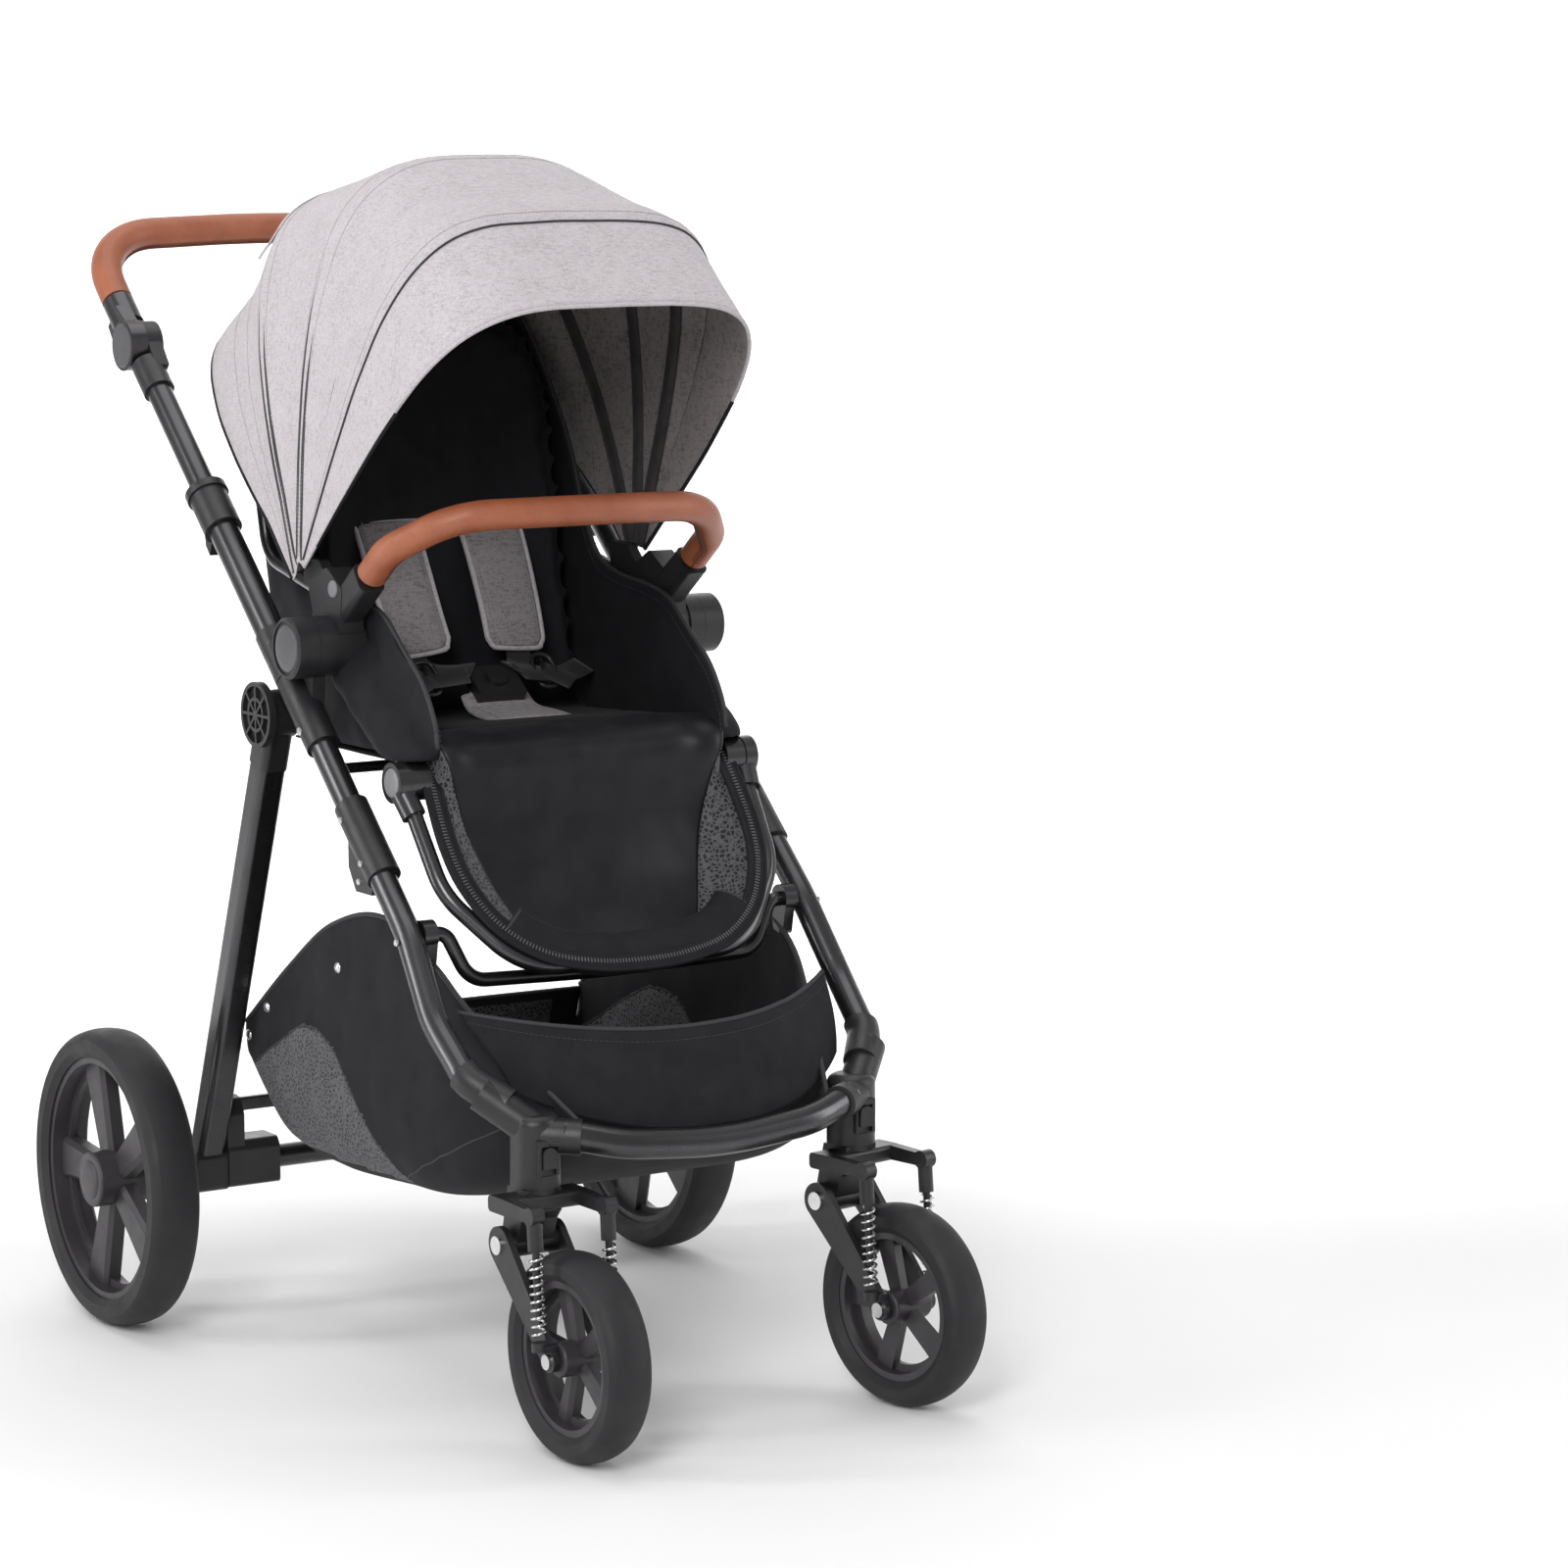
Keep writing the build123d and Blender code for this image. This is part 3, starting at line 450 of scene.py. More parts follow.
def cord_mesh(path, radius, bm=None, sides=6, closed=False):
    """Round cord along a path, for piping and seams."""
    bm = bm or bmesh.new()
    count = len(path)
    frames = frames_along(path, Vector((0.13, 0.21, 0.97)), closed)
    ring = [(cos(2 * pi * k / sides) * radius, sin(2 * pi * k / sides) * radius) for k in range(sides)]
    rows = []
    for point, (_, side, normal) in zip(path, frames):
        rows.append([bm.verts.new(point + side * a + normal * b) for a, b in ring])
    for n in range(count if closed else count - 1):
        first, second = rows[n], rows[(n + 1) % count]
        for i in range(sides):
            bm.faces.new((first[i], first[(i + 1) % sides], second[(i + 1) % sides], second[i]))
    if not closed:
        bm.faces.new(list(reversed(rows[0])))
        bm.faces.new(rows[-1])
    return bm


def stitches(path, length, gap, radius, bm=None):
    """Row of separate stitches along a path."""
    bm = bm or bmesh.new()
    total = sum((b - a).length for a, b in zip(path, path[1:]))
    count = max(1, int(total / (length + gap)))
    even = smooth_path(path, count * 4)
    for n in range(count):
        cord_mesh(even[4 * n : 4 * n + 4], radius, bm, 5)
    return bm


def join(main, *others):
    """Merge meshes of the others into main, keeping their materials."""
    bm = bmesh.new()
    slots = []
    for obj in (main, *others):
        shift = []
        for material in obj.data.materials:
            if material not in slots:
                slots.append(material)
            shift.append(slots.index(material))
        start = len(bm.faces)
        bm.from_mesh(obj.data)
        bm.faces.ensure_lookup_table()
        for face in bm.faces[start:]:
            face.material_index = shift[min(face.material_index, len(shift) - 1)]
    bm.to_mesh(main.data)
    bm.free()
    dress(main.data, slots)
    for obj in others:
        bpy.data.objects.remove(obj)
    return main


def inflate(obj, voxel=5.0, pressure=4.0, cap=9.0, stiffness=15.0):
    """Cloth simulation that plumps a closed pad; no point moves further than cap millimetres."""
    modified(obj, "REMESH", mode="VOXEL", voxel_size=voxel * MM)
    modified(obj, "SMOOTH", factor=0.5, iterations=8)
    rest = [v.co.copy() for v in obj.data.vertices]
    cloth = obj.modifiers.new("Cloth", "CLOTH")
    setting = cloth.settings
    setting.quality = 4
    setting.mass = 0.3
    setting.tension_stiffness = stiffness
    setting.compression_stiffness = stiffness
    setting.bending_stiffness = 0.4
    setting.use_pressure = True
    setting.uniform_pressure_force = pressure
    setting.effector_weights.gravity = 0
    cloth.collision_settings.use_collision = False
    for step in range(1, 21):
        bpy.context.scene.frame_set(step)
    bake(obj)
    bpy.context.scene.frame_set(1)
    for vertex, start in zip(obj.data.vertices, rest):
        move = vertex.co - start
        if move.length > cap * MM:
            vertex.co = start + move.normalized() * cap * MM
    modified(obj, "SUBSURF", levels=1, render_levels=1)
    obj.data.polygons.foreach_set("use_smooth", [True] * len(obj.data.polygons))
    return obj


def blend_line(points, place):
    """Value between listed (place, value) pairs, eased."""
    if place <= points[0][0]:
        return points[0][1]
    for (a, x), (b, y) in zip(points, points[1:]):
        if place <= b:
            t = (place - a) / (b - a)
            t = t * t * (3 - 2 * t)
            return x + (y - x) * t
    return points[-1][1]


def along_curve(points, place):
    """Value of a smooth curve through listed (place, value) pairs."""
    if place <= points[0][0]:
        return points[0][1]
    if place >= points[-1][0]:
        return points[-1][1]
    for n, ((a, x), (b, y)) in enumerate(zip(points, points[1:])):
        if place <= b:
            before = points[n - 1] if n else (2 * a - b, 2 * x - y)
            after = points[n + 2] if n + 2 < len(points) else (2 * b - a, 2 * y - x)
            slope_in = (y - before[1]) / (b - before[0])
            slope_out = (after[1] - x) / (after[0] - a)
            t, span = (place - a) / (b - a), b - a
            ease = x * (1 + 2 * t) * (1 - t) ** 2 + y * t * t * (3 - 2 * t)
            return ease + span * (slope_in * t * (1 - t) ** 2 - slope_out * t * t * (1 - t))
    return points[-1][1]


def ripple(point, scale, seed):
    """Smooth noise, about -1 to 1, that varies over scale millimetres."""
    return noise.noise(point / (scale * MM) + Vector((seed, seed * 1.7, seed * 2.3)))


# ----------------------------------------------------------------------- hood

HOOD_PIVOT = (-175.0, 712.0)
HOOD_HALF = 179.0
HOOD_RISE = 377.0
HOOD_REAR, HOOD_FRONT = 37.0, 138.5
HOOD_RIBS = (37.0, 66.0, 93.0, 122.0, 138.5)
HOOD_SEAM = 122.0


def squarish(half, rise, power, count):
    """Even steps along half of a squarish ellipse: (across, height) in millimetres."""
    fine = []
    for n in range(801):
        turn = pi * n / 800
        x = -abs(cos(turn)) ** (2 / power) * (1 if cos(turn) > 0 else -1)
        fine.append(Vector((x * half, abs(sin(turn)) ** (2 / power) * rise, 0)))
    return evenly(fine, count)


ARCH = squarish(HOOD_HALF, HOOD_RISE, 4.4, 150)
ROUND_ARCH = squarish(HOOD_HALF, HOOD_RISE, 3.3, 150)


def hood_point(angle, along, lift=0.0):
    """Point of the hood's outer face: angle in degrees from the rear, along 0 to 1 from side to side."""
    square = blend_line([(86, 0), (124, 1)], angle)
    flat = point_on(ROUND_ARCH, along).lerp(point_on(ARCH, along), square)
    x, reach = flat.x, max(flat.y, 16.0)
    rise = reach / HOOD_RISE
    for a, b in zip(HOOD_RIBS, HOOD_RIBS[1:]):
        if a <= angle <= b:
            between = (angle - a) / (b - a)
            depth = 18.0 if a == HOOD_REAR else 9.0 * ((b - a) / 29.0) ** 2
            lift -= depth * rise * sin(pi * between) ** 1.3
    near_seam = HOOD_SEAM - angle
    if 0 <= near_seam < 9:
        lift += 4.2 * (1 - near_seam / 9) ** 0.7 * min(1, rise * 3)
    for rib in HOOD_RIBS[1:3]:
        lift += 1.2 * max(0, 1 - abs(angle - rib) / 1.6) * min(1, rise * 3)
    spot = Vector((x, angle * 2.2, reach)) * MM
    lift += (2.6 * ripple(spot, 120, 3.1) + 1.1 * ripple(spot, 46, 7.7)) * min(1, rise * 1.6)
    flare = 1 + lift / HOOD_RISE
    turn = radians(angle)
    y = HOOD_PIVOT[0] + reach * flare * cos(turn)
    z = HOOD_PIVOT[1] + reach * flare * sin(turn)
    side = x * (1 + lift * 0.5 / HOOD_HALF)
    z -= 15 * max(0.0, 1 - rise * 5) * blend_line([(60, 1), (84, 0)], angle)
    return at(side, y, z)


def hood_row(v):
    """Angle of a row of the hood's mesh: two rows close together make the step at the visor's seam."""
    share = 0.84
    if v < share:
        return HOOD_REAR + (HOOD_SEAM - HOOD_REAR) * v / share
    return HOOD_SEAM + 0.12 + (HOOD_FRONT - HOOD_SEAM - 0.12) * (v - share - 0.01) / (1 - share - 0.01)


def hood():
    """One sheet over the ribs, its lining, the tapes over the ribs, seams and piping, with a dark cord in the
    visor seam's step as painted shadow.
    """
    outer = piece("hood", grid(lambda u, v: hood_point(hood_row(v), 1 - u), 150, 100), HEATHER)
    outer.data.materials.append(LINING)
    modified(outer, "SOLIDIFY", thickness=2.4 * MM, offset=-1, material_offset=1, material_offset_rim=0)

    extras = []
    steps = [n / 110 for n in range(111)]
    tapes = bmesh.new()
    for rib in (66.0, 93.0, 112.0):
        path = [hood_point(rib, 0.015 + 0.97 * s, -6.5) for s in steps]
        outward = [(hood_point(rib, 0.015 + 0.97 * s, 8) - p).normalized() for s, p in zip(steps, path)]
        ribbon(path, lambda t, o=outward: o[min(int(round(t * 110)), 110)], 9 * MM, 6.0 * MM, tapes)
    extras.append(piece("hood_tapes", tapes, TAPE))

    seams = bmesh.new()
    double = (-2.4, 2.4)
    for rib, offsets in ((66.0, double), (93.0, double), (HOOD_SEAM, (-1.8,)), (47.0, (0,)), (54.0, (0,))):
        for offset in offsets:
            path = [hood_point(rib + offset, 0.02 + 0.96 * s, 0.25) for s in steps]
            stitches(path, 2.6 * MM, 1.2 * MM, 0.35 * MM, seams)
    extras.append(piece("hood_stitches", seams, GREY_THREAD))

    # A real seam line at the foot of the visor's step; its dark colour is painted shadow of the fold that
    # overlaps the visor.
    lines = bmesh.new()
    cord_mesh([hood_point(HOOD_SEAM + 0.2, 0.02 + 0.96 * s, 0.8) for s in steps], 1.1 * MM, lines)
    extras.append(piece("hood_seam_painted_shadow", lines, DARK_THREAD))

    edge = bmesh.new()
    cord_mesh([hood_point(HOOD_FRONT, s, -1.2) for s in steps], 1.9 * MM, edge, 8)
    extras.append(piece("hood_front_hem", edge, HEATHER))
    black = bmesh.new()
    for side in (0, 1):
        part = [hood_point(HOOD_FRONT + 0.3, abs(side - 0.24 * n / 30), -2.4) for n in range(31)]
        cord_mesh(part, 2.0 * MM, black, 8)
    cord_mesh([hood_point(HOOD_REAR - 0.2, s, -1.6) for s in steps], 2.2 * MM, black, 8)
    extras.append(piece("hood_piping", black, CLOTH))

    join(outer, *extras)
    hood_point(HOOD_REAR, 0.5)
    hood_point(HOOD_SEAM, 0.5)
    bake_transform(outer)
    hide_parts("canopy_rear_panel", "canopy_middle_panel", "canopy_front_panel")


def vent_flap():
    """Flap over the hood's rear vent, lifted along its rear edge."""

    def surface(u, v):
        lift = 1.0 + 13.0 * v**1.4 * (1 - 0.25 * (2 * u - 1) ** 2)
        return hood_point(66.5 - 9.5 * v, 0.36 + 0.28 * u, lift)

    flap = piece("vent_flap", grid(surface, 40, 10), HEATHER)
    modified(flap, "SOLIDIFY", thickness=1.8 * MM, offset=0)
    hem = bmesh.new()
    cord_mesh([surface(n / 40, 1.0) for n in range(41)], 1.3 * MM, hem)
    row = [surface(n / 40, 0.85) + Vector((0, 0, 0.0008)) for n in range(41)]
    stitches(row, 2.6 * MM, 1.2 * MM, 0.35 * MM, hem)
    join(flap, piece("vent_hem", hem, HEATHER))
    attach(flap, "seat")


# ----------------------------------------------------------------------- seat

SEAT_HALF = 141.0
SEAT_LINE = [(-362, 558), (-335, 566), (-250, 560), (-160, 556), (-122, 574), (-106, 640), (-80, 770)]
SEAT_LINE = side_line(SEAT_LINE + [(-56, 885), (-40, 946)], 200)


def off_seat(v, out):
    """Point out millimetres in front of the seat's middle line, v 0 at its front edge to 1 at its top."""
    ahead = point_on(SEAT_LINE, min(1, v + 0.01)) - point_on(SEAT_LINE, max(0, v - 0.01))
    return point_on(SEAT_LINE, v) + Vector((0, -ahead.z, ahead.y)).normalized() * out


def seat_cushion():
    """Padded liner of the seat and backrest in one, with raised sides and sewn channels."""

    def surface(u, v):
        round_ = 2 * pi * u
        across = cos(round_)
        half = (SEAT_HALF - 3 if v > 0.4 else SEAT_HALF - 5) - 40 * max(0.0, (v - 0.86) / 0.14) ** 2.4
        wing = abs(across) ** 4 * blend_line([(0, 0), (0.3, 5), (0.5, 16), (0.8, 20), (1, 12)], v)
        thick = 7.0 * (abs(sin(round_)) ** 0.7) * (1 if sin(round_) > 0 else -1)
        ends = min(1, min(v, 1 - v) * 14 + 0.35)
        spot = off_seat(v, wing + thick * ends + 9)
        return at(half * (abs(across) ** 0.9) * (1 if across > 0 else -1), spot.y, spot.z)

    body = grid(surface, 56, 90, around=True)
    ends = [e for e in body.edges if e.is_boundary]
    bmesh.ops.holes_fill(body, edges=ends)
    pad = piece("seat_cushion", body, CLOTH)
    inflate(pad, voxel=5.5, pressure=3.0, cap=6.0)
    seams = bmesh.new()
    for x in (-78, 78):
        path = []
        for n in range(60):
            spot = off_seat(0.42 + 0.55 * n / 59, 17.5 + 0.6)
            path.append(at(x, spot.y, spot.z))
        stitches(path, 3 * MM, 1.6 * MM, 0.5 * MM, seams)
    join(pad, piece("seat_stitches", seams, DARK_THREAD))
    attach(pad, "seat")


SIDE_TOP = [(-379, 574), (-374, 598), (-352, 630), (-318, 656), (-280, 684), (-240, 694)]
SIDE_TOP += [(-190, 700), (-150, 716), (-122, 760), (-98, 820), (-68, 890), (-34, 956)]
SIDE_LOW = [(-376, 566), (-352, 562), (-310, 563), (-240, 562), (-180, 562), (-120, 566)]
SIDE_LOW += [(-84, 620), (-52, 720), (-24, 850), (-8, 946)]


def seat_side(side):
    """Fabric side wall of the bucket, a sleeve over the side tube at its lower edge."""
    top, low = side_line(SIDE_TOP, 90), side_line(SIDE_LOW, 90)
    tube_a, tube_b = Vector((0, -243, 631)), Vector((0, -352, 560))

    def surface(u, v):
        turn = 2 * pi * u
        point = point_on(low, v).lerp(point_on(top, v), 0.5 - 0.5 * cos(turn))
        along = max(0.0, min(1.0, (point - tube_a).dot(tube_b - tube_a) / (tube_b - tube_a).length_squared))
        gap = (point - tube_a.lerp(tube_b, along)).length
        bulge = max(0.0, 1 - (gap / 30) ** 2) ** 0.5 if gap < 30 else 0.0
        outside = sin(turn) > 0
        spot = Vector((side, point.y, point.z)) * MM
        fold = 5.0 * ripple(spot, 52, 5.0) + 2.2 * ripple(spot, 22, 9.0)
        narrow = 26 * max(0.0, min(1.0, (point.z - 800) / 150)) ** 1.5
        if outside:
            x = 149 - narrow + 3.0 * sin(turn) + 24.0 * bulge * min(1, sin(turn) * 2.5) + fold * 0.8
        else:
            x = 146 - narrow + 3.0 * sin(turn) - 2.0 * bulge + fold * 0.5
        return at(side * x, point.y, point.z)

    wall = grid(surface, 48, 110, around=True)
    bmesh.ops.holes_fill(wall, edges=[e for e in wall.edges if e.is_boundary])
    if side > 0:
        bmesh.ops.reverse_faces(wall, faces=wall.faces)
    name = "left" if side > 0 else "right"
    obj = piece("seat_side_" + name, wall, CLOTH)
    hem = bmesh.new()
    edge = [at(side * (148 - 26 * max(0.0, (p.z - 800) / 158) ** 1.5), p.y, p.z + 1) for p in top]
    cord_mesh(edge, 2.2 * MM, hem, 8)
    stitches([at(side * 143.6, p.y, p.z - 7) for p in top[:60]], 3 * MM, 1.6 * MM, 0.45 * MM, hem)
    join(obj, piece("side_hem", hem, DARK_THREAD))
    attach(obj, "seat")


def seat_back_skin():
    """Outer fabric of the backrest, closed over the hoop and gathered under the seat."""

    def surface(u, v):
        z = 560 + 398 * v
        y = blend_line([(0, -96), (0.12, -66), (0.5, -36), (0.85, -4), (1, 6)], v)
        across = 2 * u - 1
        z -= 46 * abs(across) ** 6 * v**6
        curve = 26 * (1 - abs(across) ** 3)
        spot = Vector((across * 150, z, 0)) * MM
        fold = 3.0 * ripple(spot, 90, 2.0) + 1.2 * ripple(spot, 34, 4.0)
        return at(across * (150 - 22 * v**6), y + curve - 8 + fold, z)

    skin = piece("seat_back_skin", grid(surface, 60, 70), CLOTH)
    modified(skin, "SOLIDIFY", thickness=2.0 * MM, offset=0)
    lines = bmesh.new()
    for x in (0.3, 0.7):
        row = [surface(x, n / 60) + Vector((0, 0.0014, 0)) for n in range(61)]
        stitches(row, 3 * MM, 1.6 * MM, 0.5 * MM, lines)
    join(skin, piece("back_stitches", lines, DARK_THREAD))
    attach(skin, "seat")
    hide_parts("seat_shell")


def seat_underside():
    """Fabric stretched under the seat between the side tubes."""

    def surface(u, v):
        across = 2 * u - 1
        y = -362 + 262 * v
        fold = 2 * ripple(Vector((across * 150, y, 0)) * MM, 60, 6.0)
        return at(across * 147, y, 556 - 9 * (1 - across**2) * sin(pi * v) ** 0.7 + fold)

    under = piece("seat_underside", grid(surface, 40, 40), CLOTH)
    modified(under, "SOLIDIFY", thickness=2.0 * MM, offset=0)
    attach(under, "seat")


# -------------------------------------------------------------------- harness


def shoulder_pad(side):
    """Flat strap pad with a light bound edge and a round lower end."""
    lean = 1 if side > 0 else 0.55
    points = [(54, -104, 752), (55, -116, 730), (55, -132, 700), (54, -150, 664), (52, -164, 634)]
    points = [(x - 14 * (1 - lean) * n / 4, y, z) for n, (x, y, z) in enumerate(points)]
    path = smooth_path([at(side * x, y, z) for x, y, z in points], 30)

    def half(t):
        return (32 - 3 * t) * MM if t < 0.92 else (32 - 3 * t) * MM * (1 - ((t - 0.92) / 0.08) ** 2 * 0.3)

    name = "left" if side > 0 else "right"
    up = Vector((0, -1, 0.35))
    pad = piece("shoulder_pad_" + name, ribbon(path, up, half, 9 * MM), PAD_GREY)
    modified(pad, "SUBSURF", levels=2, render_levels=2)
    rim = bmesh.new()
    frames = list(enumerate(zip(path, frames_along(path, up))))
    edge = [p + s * half(n / 30) for n, (p, (_, s, _)) in frames]
    edge += [p - s * half(n / 30) for n, (p, (_, s, _)) in reversed(frames)]
    cord_mesh(smooth_path(edge, 120, True)[:-1], 2.6 * MM, rim, 8, closed=True)
    marks = bmesh.new()
    for way in (1, -1):
        line = [p + s * way * (half(n / 30) - 6 * MM) + m * 4.2 * MM for n, (p, (_, s, m)) in frames]
        stitches(line[:-1], 2.6 * MM, 1.4 * MM, 0.4 * MM, marks)
    join(pad, piece("pad_rim", rim, HEATHER), piece("pad_marks", marks, GREY_THREAD))
    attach(pad, "seat")


def crotch_pad():
    """Pad under the buckle, its lower end lying on the seat."""
    points = [(0, -290, 582), (0, -268, 584), (0, -246, 585), (0, -226, 589), (0, -212, 600)]
    path = smooth_path([at(*p) for p in points], 24)
    up = Vector((0, -0.4, 1))
    slab = ribbon(path, up, lambda t: (46 - 10 * t) * MM, 9 * MM)
    pad = piece("crotch_pad", slab, PAD_GREY)
    modified(pad, "SUBSURF", levels=2, render_levels=2)
    marks = bmesh.new()
    frames = list(enumerate(zip(path, frames_along(path, up))))
    for side in (-1, 1):
        line = [p + s * side * (34 - 8 * n / 24) * MM + m * 4.2 * MM for n, (p, (_, s, m)) in frames]
        stitches(line, 2.6 * MM, 1.4 * MM, 0.4 * MM, marks)
    join(pad, piece("crotch_marks", marks, GREY_THREAD))
    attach(pad, "seat")
    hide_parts("harness_pads")


def harness_straps():
    """Webbing from the pads and the seat's sides to the buckle, with its sliders."""
    bm = bmesh.new()
    shoulder = [(58, -152, 640), (50, -172, 622), (34, -196, 620), (20, -210, 622)]
    waist = [(132, -150, 612), (104, -168, 608), (66, -196, 612), (26, -214, 618)]
    tail = [(60, -200, 616), (74, -206, 610), (84, -214, 604)]
    for side in (-1, 1):
        for points, steps, lean in ((shoulder, 24, -0.6), (waist, 24, -0.7), (tail, 12, -0.7)):
            path = smooth_path([at(side * x, y, z) for x, y, z in points], steps)
            ribbon(path, Vector((0, lean, 1)), 12 * MM, 1.8 * MM, bm)
    piece("harness_straps", bm, WEBBING, "seat")
    sliders = bmesh.new()
    for side in (-1, 1):
        middle = at(side * 62, -199, 615)
        frame_path = []
        for dx, dy in ((-9, -15), (9, -15), (9, 15), (-9, 15)):
            frame_path.append(middle + Vector((dx, dy * 0.6, dy * 0.75)) * MM)
        cord_mesh(smooth_path(frame_path, 40, True)[:-1], 2.4 * MM, sliders, 8, closed=True)
        bar = Vector((0, 9, 11)) * MM
        cord_mesh([middle - bar, middle + bar], 2.0 * MM, sliders, 8)
    piece("strap_sliders", sliders, BLACK, "seat")


# ------------------------------------------------------------------- leg rest

REST_PIVOT = (-360.0, 546.0)
REST_ANGLE = radians(55.0)


def on_rest(x, u, v=0.0):
    """Point u down the leg rest from its pivot and v in front of its tube."""
    y = REST_PIVOT[0] - u * cos(REST_ANGLE) - v * sin(REST_ANGLE)
    z = REST_PIVOT[1] - u * sin(REST_ANGLE) + v * cos(REST_ANGLE)
    return at(x, y, z)


RIM_SIDE = [(146, -40), (152, 20), (154, 70), (148, 112), (128, 152), (92, 181), (46, 194)]
REST_RIM = [Vector((-x, u, 0)) for x, u in RIM_SIDE + [(0, 197)]]
REST_RIM = smooth_path(REST_RIM + [Vector((x, u, 0)) for x, u in reversed(RIM_SIDE)], 240)


def rim_point(t, spread, v):
    """U-shaped zip line in front of the leg rest's tube, t from 0 at one top corner to 1 at the other."""
    k = min(int(t * 240), 239)
    ahead = REST_RIM[min(k + 2, 240)] - REST_RIM[max(k - 1, 0)]
    spot = point_on(REST_RIM, t) + Vector((-ahead.y, ahead.x, 0)).normalized() * spread
    return on_rest(spot.x, spot.y, v)


PANEL_LINE = [(-300, 580), (-340, 585), (-370, 580), (-385, 562), (-381, 530), (-382, 495), (-401, 449)]
PANEL_LINE = side_line(PANEL_LINE + [(-430, 414), (-456, 396), (-472, 388)], 120)
PANEL_HALF = [(0, 143), (0.25, 145), (0.36, 136), (0.55, 118), (0.72, 102), (0.84, 86), (0.93, 64), (1, 36)]


def rest_panel():
    """Padded panel from the seat's front edge down to the zip, behind its rim, with its mesh sides."""

    def surface(u, v):
        across = 2 * u - 1
        k = min(int(v * 120), 119)
        ahead = PANEL_LINE[min(k + 2, 120)] - PANEL_LINE[max(k - 1, 0)]
        normal = Vector((0, ahead.z, -ahead.y)).normalized()
        half = along_curve(PANEL_HALF, v)
        place = Vector((across * half, v * 250, 0)) * MM
        crown = 5 * (1 - across**2) * sin(pi * min(1, v * 1.1))
        fold = 2.6 * ripple(place, 70, 1.5) + 1.0 * ripple(place, 26, 3.5) * (1 - v)
        pull = 2.2 * max(0, 1 - abs(v - 0.28) * 6) * sin(abs(across) * 22) * across**4
        spot = point_on(PANEL_LINE, v) + normal * (crown + fold + pull)
        return at(across * half, spot.y, spot.z)

    panel = piece("rest_panel", grid(surface, 70, 90), SATIN)
    modified(panel, "SOLIDIFY", thickness=5.0 * MM, offset=1)

    def gusset(side):
        def face(u, v):
            t = 0.015 + 0.385 * v
            rim = rim_point(t if side < 0 else 1 - t, 0.0, 6.0)
            inner = surface(0.0 if side < 0 else 1.0, 0.26 + 0.70 * v)
            sag = sin(pi * u) * 3 * MM
            return inner.lerp(rim, u) - Vector((0, 0, sag))

        return grid(face, 14, 60)

    extras = []
    for side in (-1, 1):
        mesh = piece("gusset", gusset(side), NET)
        modified(mesh, "SOLIDIFY", thickness=1.2 * MM, offset=0)
        extras.append(mesh)
    join(panel, *extras)
    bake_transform(panel)
    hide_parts("leg_rest_pad")


def rest_band():
    """Band wrapped round the lower tube, the zip along its upper edge."""
    start, end = 0.30, 0.70

    def surface(u, v):
        t = start + (end - start) * v
        turn = 2 * pi * u
        fine = rim_point(t, -14.0, 0.0)
        out = (rim_point(t, -15.0, 0.0) - fine).normalized()
        forward = (rim_point(t, -14.0, 1.0) - fine).normalized()
        fold = 1.2 * ripple(fine, 38, 8.0) + 0.6 * ripple(fine, 16, 2.0)
        wide = 19 + fold
        deep = 11.5 + fold * 0.5
        return fine + out * (cos(turn) * wide - 1) * MM + forward * (sin(turn) * deep) * MM

    band = piece("rest_band", grid(surface, 32, 120, around=True), CLOTH)
    modified(band, "SOLIDIFY", thickness=2.0 * MM, offset=0)
    lines = bmesh.new()
    for place in (0.36, 0.415, 0.585, 0.64):
        ring = [surface(n / 24, (place - start) / (end - start)) for n in range(24)]
        cord_mesh(ring, 0.8 * MM, lines, 6, closed=True)
    for at_end in (0.0, 1.0):
        cord_mesh([surface(n / 24, at_end) for n in range(24)], 1.6 * MM, lines, 6, closed=True)
    join(band, piece("band_seams", lines, DARK_THREAD))
    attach(band, "leg_rest")


def rest_zip():
    """Zip teeth between two tapes round the leg rest's rim."""
    count = 200
    path = [rim_point(0.02 + 0.96 * n / count, 0.0, 10.5) for n in range(count + 1)]
    out = [(rim_point(0.02 + 0.96 * n / count, -1.0, 10.5) - p).normalized() for n, p in enumerate(path)]
    forward = (on_rest(0, 0, 1) - on_rest(0, 0, 0)).normalized()
    tape = ribbon(path, forward, 8.5 * MM, 1.6 * MM)
    tapes = piece("rest_zip", tape, CLOTH)
    welt = bmesh.new()
    for shift in (-8.0, 8.0):
        cord_mesh([p + o * shift * MM for p, o in zip(path, out)], 2.0 * MM, welt)
    teeth = bmesh.new()
    fine = smooth_path(path, 420)
    for point, (_, side, normal) in list(zip(fine, frames_along(fine, forward)))[::2]:
        middle, half = point + normal * 1.2 * MM, side * 2.2 * MM
        cord_mesh([middle - half, middle + half], 0.9 * MM, teeth, 5)
    join(tapes, piece("zip_welt", welt, CLOTH), piece("zip_teeth", teeth, CAP))
    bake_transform(tapes)


# --------------------------------------------------------------------- basket


BASKET_TOP = [(-590, 272), (-484, 352), (-430, 392), (-342, 424), (-240, 404), (-150, 352), (-56, 286)]
BASKET_LOW = [(-590, 262), (-500, 210), (-420, 184), (-344, 174), (-128, 175), (-56, 244)]
BASKET_WIDE = [(-590, 122), (-500, 160), (-450, 176), (-340, 182), (-56, 180)]
BASKET_HALF, BASKET_DEEP = 182, 230
BASKET_ARCH = squarish(BASKET_HALF, BASKET_DEEP, 8.0, 150)
NET_EDGE = [(-345, 187), (-290, 244), (-240, 292), (-205, 303), (-170, 298), (-60, 242)]


def basket_section(y):
    """Top edge height, floor height and half width of the basket at y."""
    return [along_curve(line, y) for line in (BASKET_TOP, BASKET_LOW, BASKET_WIDE)]


